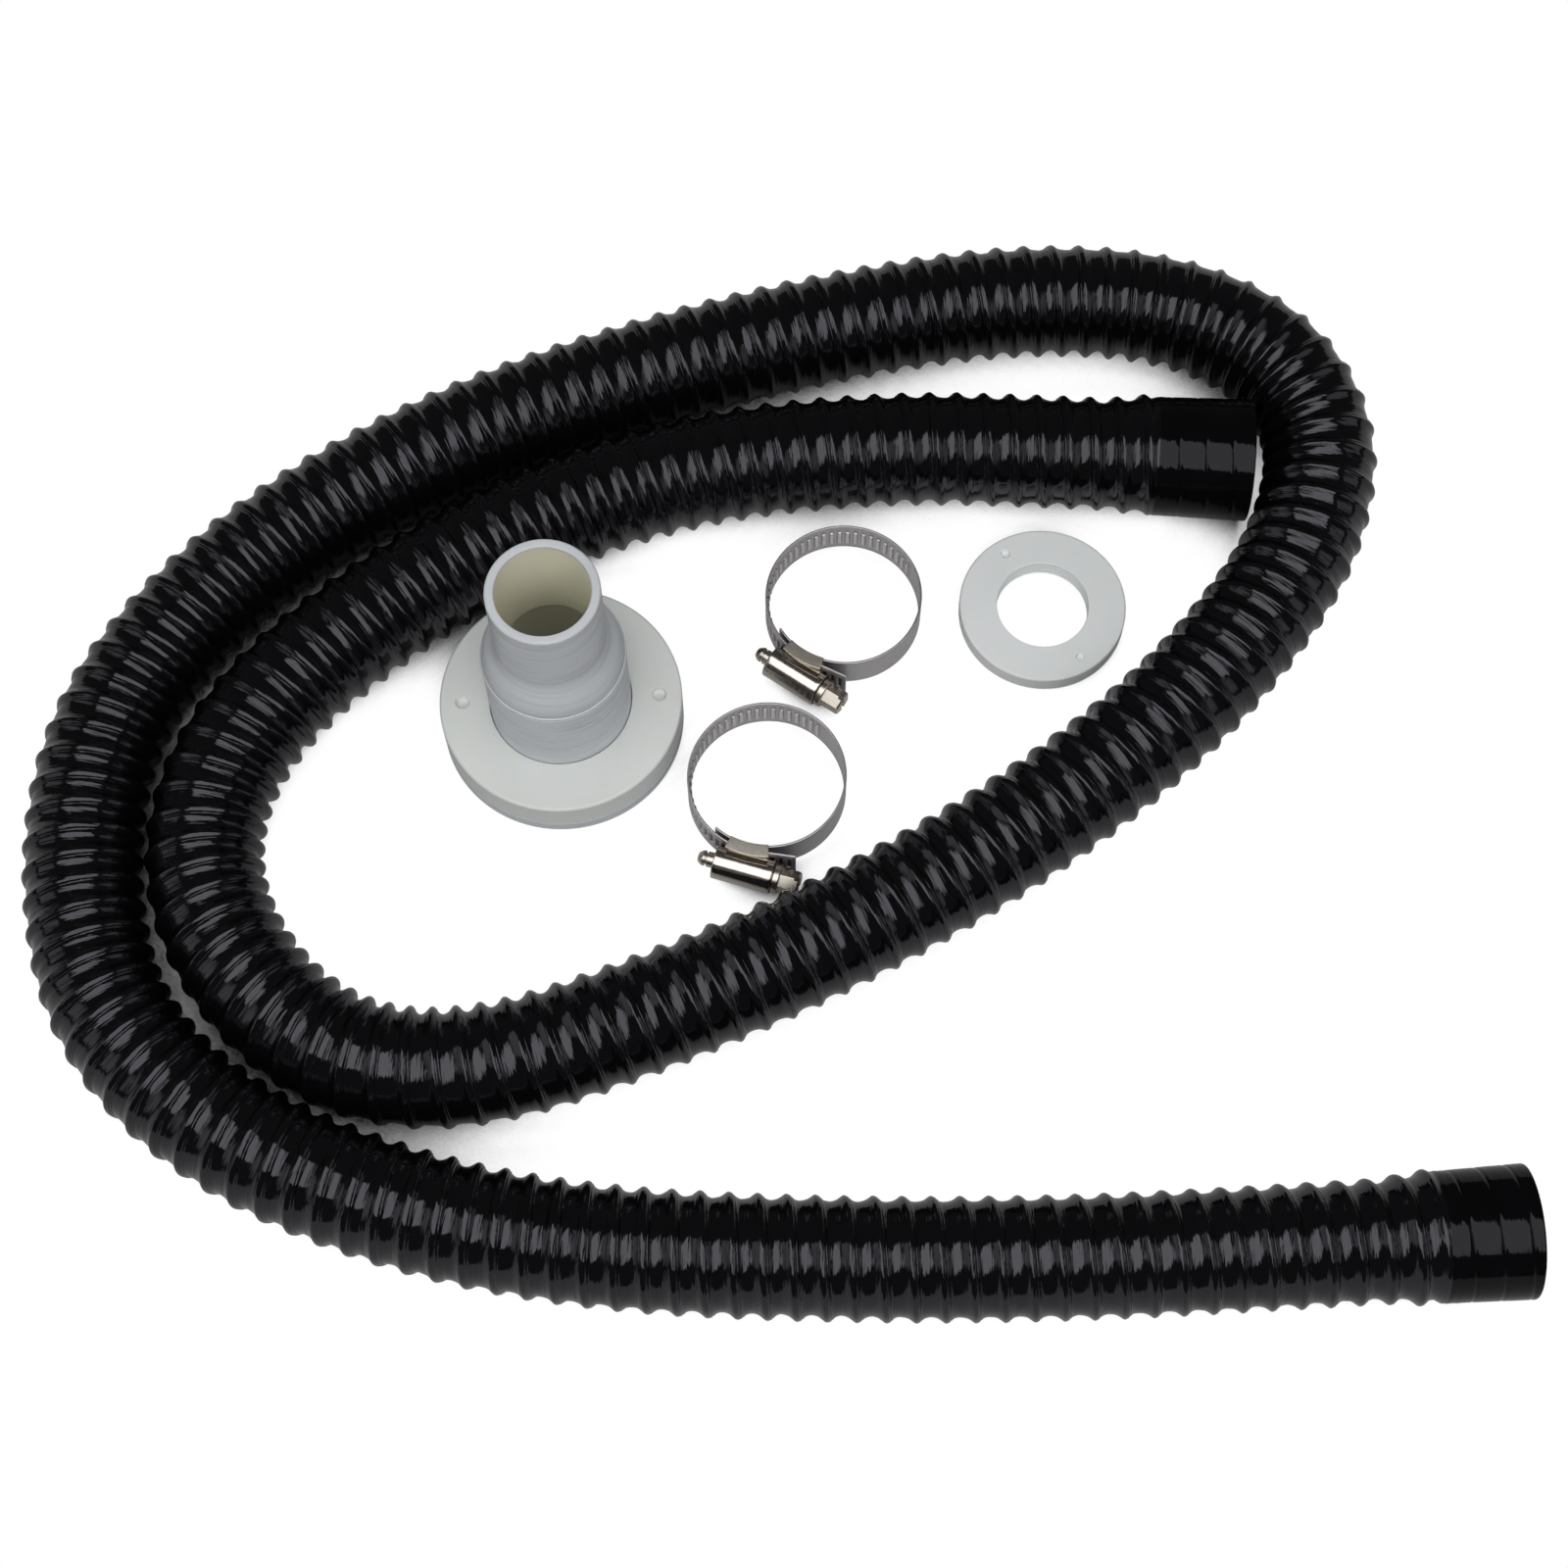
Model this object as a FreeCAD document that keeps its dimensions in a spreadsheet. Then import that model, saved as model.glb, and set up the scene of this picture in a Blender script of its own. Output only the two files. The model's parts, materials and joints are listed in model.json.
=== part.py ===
import FreeCAD, Part
import math
import os
import Sketcher
from FreeCAD import Placement, Rotation, Vector

# Drain hose kit: a coiled ribbed hose with a smooth cuff at each end, and, lying free inside the coil,
# a flanged tank fitting with its lock nut, a spare ring nut and two worm-drive hose clamps.
# Millimetres. Z is up, the kit lies on the plane z = 0, and the origin is the middle of its outline.

SIZES = {
    "hose_outer_diameter": 34.0,
    "hose_wall": 2.5,
    "cuff_length": 27.0,
    "cuff_wall": 1.5,
    "cuff_flare": 0.4,
    "cuff_edge_round": 0.4,
    "fitting_along_run": 24.67,
    "fitting_hose_gap": 0.38,
    "flange_diameter": 70.6,
    "flange_thickness": 4.5,
    "shank_diameter": 41.0,
    "shank_length": 38.5,
    "shank_wall": 3.0,
    "bead_height": 0.1,
    "bead_width": 2.2,
    "bead_notch_width": 0.4,
    "thread_pitch": 1.5,
    "thread_depth": 0.25,
    "shoulder_length": 14.0,
    "bore_cone_rise": 7.0,
    "bore_cone_drop": 2.8,
    "barb_diameter": 31.6,
    "barb_length": 29.5,
    "barb_wall": 2.6,
    "barb_pitch": 6.0,
    "barb_height": 0.25,
    "barb_rim_round": 0.8,
    "nut_thickness": 10.5,
    "nut_edge_round": 0.8,
    "nut_running_clearance": 0.1,
    "nut_dimple_diameter": 4.0,
    "nut_dimple_depth": 1.6,
    "nut_dimple_inset": 6.7,
    "nut_turn": 2.5,
    "ring_x": 83.1,
    "ring_y": 51.0,
    "ring_turn": 122.0,
    "ring_diameter": 49.6,
    "ring_thickness": 6.2,
    "ring_bore_diameter": 27.3,
    "ring_bore_chamfer": 0.5,
    "ring_edge_round": 0.6,
    "ring_dimple_diameter": 2.5,
    "ring_dimple_depth": 1.0,
    "ring_dimple_inset": 4.8,
    "clamp_a_x": 24.2,
    "clamp_a_y": 51.0,
    "clamp_a_turn": -34.0,
    "clamp_b_x": 1.5,
    "clamp_b_y": -6.5,
    "clamp_b_turn": -16.5,
    "band_bore": 44.0,
    "band_thickness": 0.6,
    "band_width": 12.7,
    "band_layer_gap": 0.06,
    "band_liner_start": 244.0,
    "band_wrap_start": 100.0,
    "band_wrap_sweep": 178.0,
    "band_tail_length": 11.5,
    "band_groove_start": 62.0,
    "band_groove_pitch": 2.4,
    "band_groove_width": 1.1,
    "band_groove_length": 6.3,
    "band_groove_depth": 0.35,
    "housing_length": 17.4,
    "housing_shift": 0.9,
    "housing_sheet": 0.8,
    "housing_seat_gap": 0.15,
    "saddle_sheet": 0.7,
    "saddle_gap": 0.1,
    "saddle_half_sweep": 14.5,
    "ear_width": 3.8,
    "worm_core_diameter": 6.8,
    "worm_thread_height": 0.4,
    "worm_thread_width": 0.6,
    "worm_band_clearance": 0.15,
    "worm_housing_clearance": 0.4,
    "nose_diameter": 4.5,
    "nose_length": 5.0,
    "nose_tip_diameter": 2.5,
    "nose_tip_height": 0.55,
    "nose_shoulder_diameter": 4.0,
    "nose_shoulder_height": 1.35,
    "nose_groove_place": 2.25,
    "nose_groove_depth": 0.5,
    "nose_groove_width": 0.6,
    "collar_diameter": 8.8,
    "collar_thickness": 2.0,
    "collar_chamfer": 0.2,
    "collar_end_play": 0.2,
    "head_across_flats": 6.35,
    "head_length": 5.8,
    "head_chamfer": 0.5,
    "driver_slot_width": 1.2,
    "driver_slot_depth": 1.6,
}

# The way the hose lies, seen from above, from one cuff's inner end to the other's.
HOSE_ROUTE = [
    (182, -143), (136, -146), (76, -149), (14, -149), (-46, -146), (-98, -136), (-148, -115), (-182, -83),
    (-194, -41), (-192, 3), (-172, 39), (-139, 72), (-93, 101), (-39, 123), (20, 140), (78, 150),
    (124, 147), (156, 130), (169, 101), (162, 69), (145, 41), (117, 9), (76, -24), (26, -54),
    (-28, -79), (-76, -96), (-111, -95), (-139, -77), (-158, -47), (-159, -15), (-143, 16), (-108, 48),
    (-64, 76), (-17, 92), (36, 98), (81, 97), (117, 95),
]
# The fitting stands beside this run of the route, on its right hand side.
FITTING_RUN = 31

UP = Vector(0, 0, 1)
CLAMPS = ("clamp_a", "clamp_b")
NO_LENGTH = 1e-9
SAME_LENGTH = 1e-4
LEAST_CUT = 1e-6

doc = FreeCAD.newDocument("drain_hose_kit")
sheet = doc.addObject("Spreadsheet::Sheet", "sizes")
for row, (alias, value) in enumerate(SIZES.items(), start=1):
    sheet.set("A%d" % row, alias)
    sheet.set("B%d" % row, str(value))
    sheet.setAlias("B%d" % row, alias)
doc.recompute()

nodes = {}


def formula(text):
    """Write a formula of plain size names the way the sheet's cells are called."""
    words = text.replace("(", "( ").replace(")", " )").split()
    return " ".join("sizes." + word if word in SIZES else word for word in words)


def value_of(text):
    return float(sheet.evalExpression(formula(text)))


def bind(thing, **formulas):
    for name, text in formulas.items():
        thing.setExpression(name.replace("__", "."), formula(text))


def node(name, thing):
    """Register a finished sub-part under the name of its file."""
    thing.Label = name
    nodes[name] = thing
    return thing


def new_body(name):
    return doc.addObject("PartDesign::Body", name)


def attached_sketch(body, name, role, offset=None):
    """A sketch on one of the body's own origin planes, lifted off it by an offset formula."""
    plane = [feature for feature in body.Origin.OriginFeatures if feature.Role == role][0]
    sketch = body.newObject("Sketcher::SketchObject", name)
    sketch.AttachmentSupport = [(plane, "")]
    sketch.MapMode = "FlatFace"
    if offset:
        bind(sketch, AttachmentOffset__Base__z=offset)
    return sketch


def fix_point(sketch, geometry, point, across, along):
    """Hold one point of a sketch at the two formulas, measured from the sketch's origin."""
    for kind, axis, text in (("DistanceX", -2, across), ("DistanceY", -1, along)):
        value = value_of(text)
        if abs(value) < NO_LENGTH:
            sketch.addConstraint(Sketcher.Constraint("PointOnObject", geometry, point, axis))
        else:
            index = sketch.addConstraint(Sketcher.Constraint(kind, -1, 1, geometry, point, value))
            sketch.setExpression("Constraints[%d]" % index, formula(text))


def draw_outline(sketch, corners):
    """Closed outline of straight edges, each corner held by its two formulas."""
    points = [Vector(value_of(across), value_of(along), 0) for across, along in corners]
    first = sketch.GeometryCount
    count = len(points)
    for index, point in enumerate(points):
        sketch.addGeometry(Part.LineSegment(point, points[(index + 1) % count]), False)
    for index in range(count):
        following = first + (index + 1) % count
        sketch.addConstraint(Sketcher.Constraint("Coincident", first + index, 2, following, 1))
    for index, (across, along) in enumerate(corners):
        fix_point(sketch, first + index, 1, across, along)


def draw_circle(sketch, across, along, radius):
    centre = Vector(value_of(across), value_of(along), 0)
    circle = sketch.addGeometry(Part.Circle(centre, UP, value_of(radius)), False)
    index = sketch.addConstraint(Sketcher.Constraint("Radius", circle, value_of(radius)))
    sketch.setExpression("Constraints[%d]" % index, formula(radius))
    if centre.Length < NO_LENGTH:
        sketch.addConstraint(Sketcher.Constraint("Coincident", circle, 3, -1, 1))
    else:
        fix_point(sketch, circle, 3, across, along)


def revolve(body, corners):
    """Turn an outline of (radius, height) corners about the body's Z axis."""
    sketch = attached_sketch(body, body.Name + "_profile", "XZ_Plane")
    draw_outline(sketch, corners)
    turned = body.newObject("PartDesign::Revolution", body.Name + "_turned")
    turned.Profile = sketch
    turned.ReferenceAxis = (sketch, ["V_Axis"])
    turned.Angle = 360
    doc.recompute()
    return turned


def round_edges(body, feature, name, radius, circles):
    """Fillet the circular edges of a feature that have the given (radius, height)."""
    wanted = [(value_of(across), value_of(along)) for across, along in circles]
    edges = []
    for index, edge in enumerate(feature.Shape.Edges, start=1):
        if not isinstance(edge.Curve, Part.Circle):
            continue
        for across, along in wanted:
            same_size = abs(edge.Curve.Radius - across) < SAME_LENGTH
            if same_size and abs(edge.Curve.Center.z - along) < SAME_LENGTH:
                edges.append("Edge%d" % index)
    if len(edges) != len(wanted):
        raise ValueError("%s: found %d of %d edges" % (name, len(edges), len(wanted)))
    fillet = body.newObject("PartDesign::Fillet", name)
    fillet.Base = (feature, edges)
    bind(fillet, Radius=radius)
    doc.recompute()
    return fillet


def pocket(body, sketch, name, depth):
    """Cut a sketch into the body, downwards from its plane, and check that it took material away."""
    before = body.Tip.Shape.Volume
    cut = body.newObject("PartDesign::Pocket", name)
    cut.Profile = sketch
    bind(cut, Length=depth)
    doc.recompute()
    if cut.Shape.Volume >= before - LEAST_CUT:
        raise ValueError(name + " cuts nothing")
    return cut


def primitive(kind, name, **formulas):
    made = doc.addObject("Part::" + kind, name)
    bind(made, **formulas)
    return made


def combine(kind, name, base, tool):
    made = doc.addObject("Part::" + kind, name)
    made.Base = base
    made.Tool = tool
    return made


def ring_sector(name, inner, outer, height, sweep):
    """A ring wall of plain section, from angle 0 round to the sweep, standing on z = 0."""
    block = primitive("Cylinder", name + "_outer", Radius=outer, Height=height, Angle=sweep)
    core = primitive("Cylinder", name + "_core", Radius=inner, Height=height)
    return combine("Cut", name, block, core)


# Hose
# An arc takes this share of the shorter run beside it, so that a short straight is left between two arcs.

ARC_SHARE = 0.45


def tangent_arc_path(points, height):
    """Straight runs joined by tangent arcs, each arc as large as its two runs allow."""
    corners = [Vector(across, along, height) for across, along in points]
    edges = []
    radii = []
    start = corners[0]
    for before, corner, after in zip(corners, corners[1:], corners[2:]):
        back = (before - corner).normalize()
        onward = (after - corner).normalize()
        turn = math.pi - back.getAngle(onward)
        trim = ARC_SHARE * min((before - corner).Length, (after - corner).Length)
        radius = trim / math.tan(turn / 2)
        inward = (back + onward).normalize()
        middle = corner + inward * (radius / math.cos(turn / 2) - radius)
        edges.append(Part.LineSegment(start, corner + back * trim).toShape())
        edges.append(Part.Arc(corner + back * trim, middle, corner + onward * trim).toShape())
        radii.append(radius)
        start = corner + onward * trim
    edges.append(Part.LineSegment(start, corners[-1]).toShape())
    return Part.Wire(edges), radii


def make_hose():
    path_wire, radii = tangent_arc_path(HOSE_ROUTE, value_of("hose_outer_diameter / 2"))
    path = doc.addObject("Part::Feature", "hose_path")
    path.Shape = path_wire
    path_edges = ["Edge%d" % (index + 1) for index in range(len(path_wire.Edges))]
    first = path_wire.Edges[0]
    along = first.valueAt(first.LastParameter) - first.valueAt(first.FirstParameter)
    pipes = {}
    for skin, radius in (
        ("outside", "hose_outer_diameter / 2"),
        ("bore", "hose_outer_diameter / 2 - hose_wall"),
    ):
        section = primitive("Circle", "hose_%s_section" % skin, Radius=radius)
        section.Placement = Placement(first.valueAt(first.FirstParameter), Rotation(UP, along))
        sweep = doc.addObject("Part::Sweep", "hose_" + skin)
        sweep.Sections = [section]
        sweep.Spine = (path, path_edges)
        sweep.Solid = True
        sweep.Frenet = False
        pipes[skin] = sweep
    hose = node("hose_tube", combine("Cut", "hose_tube", pipes["outside"], pipes["bore"]))
    doc.recompute()

    outer = value_of("hose_outer_diameter / 2")
    inner = outer - value_of("hose_wall")
    expected = math.pi * (outer ** 2 - inner ** 2) * path_wire.Length
    print("hose length %.1f, arc radii %.1f to %.1f" % (path_wire.Length, min(radii), max(radii)))
    print("arc radii: " + " ".join("%.0f" % radius for radius in radii))
    print("hose volume / (section x length) = %.5f" % (hose.Shape.Volume / expected))


def make_cuff(name, end, neighbour):
    """A smooth sleeve that carries on from the hose's end, flared towards its mouth."""
    body = new_body(name)
    bore = "hose_outer_diameter / 2 - hose_wall"
    sleeve = revolve(body, [
        (bore, "0"),
        (bore + " + cuff_wall", "0"),
        (bore + " + cuff_wall + cuff_flare", "cuff_length"),
        (bore, "cuff_length"),
    ])
    mouth = [(bore + " + cuff_wall + cuff_flare", "cuff_length"), (bore, "cuff_length")]
    body.Tip = round_edges(body, sleeve, name + "_mouth", "cuff_edge_round", mouth)
    away = Vector(end[0] - neighbour[0], end[1] - neighbour[1], 0)
    seat = Vector(end[0], end[1], value_of("hose_outer_diameter / 2"))
    body.Placement = Placement(seat, Rotation(UP, away))
    bind(body, Placement__Base__z="hose_outer_diameter / 2")
    node(name, body)


# Tank fitting
# The shoulder's S-curve is drawn in this many straight steps.

SHOULDER_STEPS = 6


def place_beside_hose(thing):
    """Stand a piece of the fitting where its flange clears the side of its run of the hose."""
    start, end = HOSE_ROUTE[FITTING_RUN:FITTING_RUN + 2]
    along = Vector(end[0] - start[0], end[1] - start[1], 0).normalize()
    aside = "(hose_outer_diameter / 2 + fitting_hose_gap + flange_diameter / 2)"
    across = "%d + %.6f * fitting_along_run + %.6f * %s" % (start[0], along.x, along.y, aside)
    back = "%d + %.6f * fitting_along_run - %.6f * %s" % (start[1], along.y, along.x, aside)
    bind(thing, Placement__Base__x=across, Placement__Base__y=back)


def make_fitting():
    """Flange, threaded shank, conical shoulder and hose barb, turned as one hollow moulding."""
    body = new_body("fitting_body")
    shank = "shank_diameter / 2"
    bead_top = "flange_thickness + shank_length"
    barb_foot = bead_top + " + shoulder_length"
    rim = barb_foot + " + barb_length"
    barb_core = "barb_diameter / 2 - barb_height"
    outline = [
        ("flange_diameter / 2", "0"),
        ("flange_diameter / 2", "flange_thickness"),
        (shank + " - thread_depth", "flange_thickness"),
    ]
    # Root, flank, crest and flank of each thread take a quarter of the pitch each.
    threads = int(value_of("shank_length - bead_width") / value_of("thread_pitch"))
    for turn in range(threads):
        root = bead_top + " - bead_width - %d * thread_pitch" % (threads - turn)
        outline.append((shank + " - thread_depth", root + " + thread_pitch / 4"))
        outline.append((shank, root + " + thread_pitch / 2"))
        outline.append((shank, root + " + thread_pitch * 3 / 4"))
        outline.append((shank + " - thread_depth", root + " + thread_pitch"))
    outline += [
        (shank + " + bead_height", bead_top + " - bead_width"),
        (shank + " + bead_height", bead_top + " - bead_width / 2 - bead_notch_width / 2"),
        (shank + " - bead_height", bead_top + " - bead_width / 2"),
        (shank + " + bead_height", bead_top + " - bead_width / 2 + bead_notch_width / 2"),
        (shank + " + bead_height", bead_top),
    ]
    for step in range(1, SHOULDER_STEPS):
        share = step / SHOULDER_STEPS
        wide = (1 + math.cos(math.pi * share)) / 2
        radius = "%s * %.4f + (%s) * %.4f" % (shank, wide, barb_core, 1 - wide)
        outline.append((radius, "%s + shoulder_length * %.4f" % (bead_top, share)))
    outline.append((barb_core, barb_foot))
    barbs = int(value_of("barb_length") / value_of("barb_pitch"))
    for barb in range(barbs):
        foot = barb_foot + " + %d * barb_pitch" % barb
        outline.append(("barb_diameter / 2", foot + " + barb_height"))
        outline.append((barb_core, foot + " + barb_pitch"))
    outline += [
        ("barb_diameter / 2", barb_foot + " + %d * barb_pitch + barb_height" % barbs),
        ("barb_diameter / 2", rim),
        ("barb_diameter / 2 - barb_wall", rim),
        ("barb_diameter / 2 - barb_wall", bead_top + " + bore_cone_rise"),
        (shank + " - shank_wall", bead_top + " - bore_cone_drop"),
        (shank + " - shank_wall", "0"),
    ]
    turned = revolve(body, outline)
    rims = [("barb_diameter / 2", rim), ("barb_diameter / 2 - barb_wall", rim)]
    rounded = round_edges(body, turned, "fitting_rim", "barb_rim_round", rims)
    flange = [("flange_diameter / 2", "0"), ("flange_diameter / 2", "flange_thickness")]
    body.Tip = round_edges(body, rounded, "fitting_flange", "nut_edge_round", flange)
    place_beside_hose(body)
    node("fitting_body", body)


def make_nut(name, outer, bore, thickness, edge_round, dimple, chamfer):
    """A round nut with a plain bore that clears the thread's crests, and two blind spanner holes."""
    body = new_body(name)
    ring = revolve(body, [
        (bore, "0"),
        (outer, "0"),
        (outer, thickness),
        (bore + " + " + chamfer, thickness),
        (bore, thickness + " - " + chamfer),
    ])
    rims = [(outer, "0"), (outer, thickness)]
    body.Tip = round_edges(body, ring, name + "_rims", edge_round, rims)
    holes = attached_sketch(body, name + "_dimples", "XY_Plane", thickness)
    for side in ("", "-1 * "):
        draw_circle(holes, side + "(" + outer + " - " + dimple + "_inset)", "0", dimple + "_diameter / 2")
    body.Tip = pocket(body, holes, name + "_dimple_holes", dimple + "_depth")
    return node(name, body)


def make_nuts():
    lock_nut = make_nut(
        "lock_nut", "flange_diameter / 2", "shank_diameter / 2 + bead_height + nut_running_clearance",
        "nut_thickness", "nut_edge_round", "nut_dimple", "ring_bore_chamfer",
    )
    lock_nut.Placement.Rotation = Rotation(UP, value_of("nut_turn"))
    place_beside_hose(lock_nut)
    bind(lock_nut, Placement__Base__z="flange_thickness")
    ring_nut = make_nut(
        "ring_nut", "ring_diameter / 2", "ring_bore_diameter / 2",
        "ring_thickness", "ring_edge_round", "ring_dimple", "ring_bore_chamfer",
    )
    ring_nut.Placement.Rotation = Rotation(UP, value_of("ring_turn"))
    bind(ring_nut, Placement__Base__x="ring_x", Placement__Base__y="ring_y")


# Hose clamps
# Each is made about its own loop's centre with the screw along X on the -Y side, then laid down.

LOOP = "band_bore / 2"
BAND_FLOOR = "saddle_sheet + saddle_gap"
HOUSING_HEIGHT = "band_width + 2 * saddle_sheet + 2 * saddle_gap"
SADDLE_INSIDE = LOOP + " + band_thickness + band_layer_gap"
HOUSING_BORE = "worm_core_diameter / 2 + worm_thread_height + worm_housing_clearance"
SCREW_SIDE = 270.0


def wrap_growth():
    """How far the outer layer's arc is larger than the liner's, so that the saddle fits between them."""
    turned = math.radians(value_of("band_liner_start") - value_of("band_wrap_start"))
    return value_of("band_thickness + saddle_sheet + 2 * band_layer_gap") / (1 - math.cos(turned))


def wrap_outside(angle):
    """Radius of the outer layer's outer face at an angle, measured from the loop's centre."""
    growth = wrap_growth()
    turned = math.radians(angle - value_of("band_wrap_start"))
    arc = value_of(LOOP + " + band_thickness") + growth
    return math.sqrt(arc ** 2 - (growth * math.sin(turned)) ** 2) - growth * math.cos(turned)


def screw_offset():
    """Distance from the loop's centre to the screw's axis."""
    return wrap_outside(SCREW_SIDE) + value_of("worm_band_clearance + worm_core_diameter / 2")


def housing_angle():
    """Angle of the housing's middle, which sits a little towards the screw's head."""
    return SCREW_SIDE + math.degrees(value_of("housing_shift") / wrap_outside(SCREW_SIDE))


def lay_down(thing, clamp, inner_place):
    """Move a piece from the clamp's own frame to where the clamp lies."""
    at = Vector(value_of(clamp + "_x"), value_of(clamp + "_y"), 0)
    thing.Placement = Placement(at, Rotation(UP, value_of(clamp + "_turn"))) * inner_place


def wrap_centre():
    """Where the outer layer's arc is drawn from: the loop's centre, moved so that the arcs are tangent."""
    return Rotation(UP, value_of("band_wrap_start")).multVec(Vector(-wrap_growth(), 0, 0))


def tail_frame():
    """Start of the straight tail's inner face: X points outwards and Y along the tail."""
    turn = Rotation(UP, value_of("band_wrap_start + band_wrap_sweep"))
    return Placement(wrap_centre() + turn.multVec(Vector(value_of(LOOP) + wrap_growth(), 0, 0)), turn)


def make_band(clamp):
    """One strip: a plain liner that becomes the grooved outer layer and ends in a straight tail."""
    growth = wrap_growth()
    start = value_of("band_wrap_start")
    end = start + value_of("band_wrap_sweep")
    floor = Vector(0, 0, value_of(BAND_FLOOR))

    liner = ring_sector(clamp + "_liner", LOOP, LOOP + " + band_thickness", "band_width",
                        "360 + band_wrap_start - band_liner_start")
    liner.Placement = Placement(floor, Rotation(UP, value_of("band_liner_start")))

    wrap = ring_sector(clamp + "_wrap", LOOP + " + %.6f" % growth,
                       LOOP + " + %.6f + band_thickness" % growth, "band_width", "band_wrap_sweep")
    wrap.Placement = Placement(floor + wrap_centre(), Rotation(UP, start))

    tail = primitive("Box", clamp + "_tail", Length="band_thickness", Width="band_tail_length",
                     Height="band_width")
    tail_place = Placement(floor, Rotation()) * tail_frame()
    tail.Placement = tail_place

    strip = doc.addObject("Part::MultiFuse", clamp + "_strip")
    strip.Shapes = [liner, wrap, tail]

    block_size = [value_of("band_" + name) for name in ("thickness", "groove_width", "groove_length")]
    lift = value_of("band_width / 2 - band_groove_length / 2")
    inset = value_of("band_groove_depth")
    grooves = []

    def add_groove(place):
        block = Part.makeBox(*block_size, Vector(-inset, -block_size[1] / 2, lift))
        block.Placement = place
        grooves.append(block)

    pitch = math.degrees(value_of("band_groove_pitch") / wrap_outside(SCREW_SIDE))
    angle = housing_angle() - pitch * int((housing_angle() - value_of("band_groove_start")) / pitch)
    while angle < end:
        outside = value_of(LOOP + " + band_thickness") if angle < start else wrap_outside(angle)
        turn = Rotation(UP, angle)
        add_groove(Placement(floor + turn.multVec(Vector(outside, 0, 0)), turn))
        angle += pitch
    step = value_of("band_groove_pitch")
    along = step * (angle - end) / pitch
    while along < value_of("band_tail_length") - step / 2:
        add_groove(tail_place * Placement(Vector(value_of("band_thickness"), along, 0), Rotation()))
        along += step
    groove_tool = doc.addObject("Part::Feature", clamp + "_grooves")
    groove_tool.Shape = Part.makeCompound(grooves)
    band = combine("Cut", clamp + "_band", strip, groove_tool)
    lay_down(band, clamp, Placement())
    node(clamp + "_band", band)


def make_saddle(clamp):
    """Curved plate between the band's two layers, with an ear over each edge of the band."""
    sweep = "2 * saddle_half_sweep"
    ear_edge = LOOP + " + ear_width"
    plate = ring_sector(clamp + "_plate", SADDLE_INSIDE, SADDLE_INSIDE + " + saddle_sheet",
                        HOUSING_HEIGHT, sweep)
    low_ear = ring_sector(clamp + "_low_ear", LOOP, ear_edge, "saddle_sheet", sweep)
    high_ear = ring_sector(clamp + "_high_ear", LOOP, ear_edge, "saddle_sheet", sweep)
    high_ear.Placement.Base = Vector(0, 0, value_of(HOUSING_HEIGHT + " - saddle_sheet"))
    saddle = doc.addObject("Part::MultiFuse", clamp + "_saddle")
    saddle.Shapes = [plate, low_ear, high_ear]
    turn = Rotation(UP, housing_angle() - value_of("saddle_half_sweep"))
    lay_down(saddle, clamp, Placement(Vector(), turn))
    node(clamp + "_saddle", saddle)


def make_housing(clamp):
    """Tube of sheet over the worm, open towards the band, on curved feet that the saddle's ears hold."""
    offset = screw_offset()
    middle = value_of(HOUSING_HEIGHT) / 2
    seat = wrap_outside(SCREW_SIDE) + value_of("housing_seat_gap")
    foot_height = "band_width - 2 * housing_seat_gap"
    length = value_of("housing_length")
    along_screw = Rotation(Vector(0, 1, 0), 90)
    tube_start = Vector(value_of("housing_shift") - length / 2, -offset, middle)

    tube = primitive("Cylinder", clamp + "_tube", Radius=HOUSING_BORE + " + housing_sheet",
                     Height="housing_length")
    tube.Placement = Placement(tube_start, along_screw)
    feet = ring_sector(clamp + "_feet", "%.6f" % seat, "%.6f + housing_sheet" % seat, foot_height,
                       "2 * saddle_half_sweep")
    feet_turn = Rotation(UP, housing_angle() - value_of("saddle_half_sweep"))
    feet.Placement = Placement(Vector(0, 0, middle - value_of(foot_height) / 2), feet_turn)
    shell = combine("Fuse", clamp + "_shell", tube, feet)

    bore = primitive("Cylinder", clamp + "_worm_bore", Radius=HOUSING_BORE, Height="housing_length")
    bore.Placement = Placement(tube_start, along_screw)
    hollow = combine("Cut", clamp + "_hollow_shell", shell, bore)
    loop_side = primitive("Cylinder", clamp + "_loop_side", Radius="%.6f" % seat, Height=HOUSING_HEIGHT)
    tail_side = primitive(
        "Box", clamp + "_tail_side", Length="band_thickness + housing_seat_gap + ear_width",
        Width="band_tail_length", Height=HOUSING_HEIGHT,
    )
    inwards = Placement(Vector(-value_of("ear_width"), 0, 0), Rotation())
    tail_side.Placement = tail_frame() * inwards
    band_room = combine("Fuse", clamp + "_band_room", loop_side, tail_side)
    housing = combine("Cut", clamp + "_housing", hollow, band_room)
    lay_down(housing, clamp, Placement())
    node(clamp + "_housing", housing)


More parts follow.
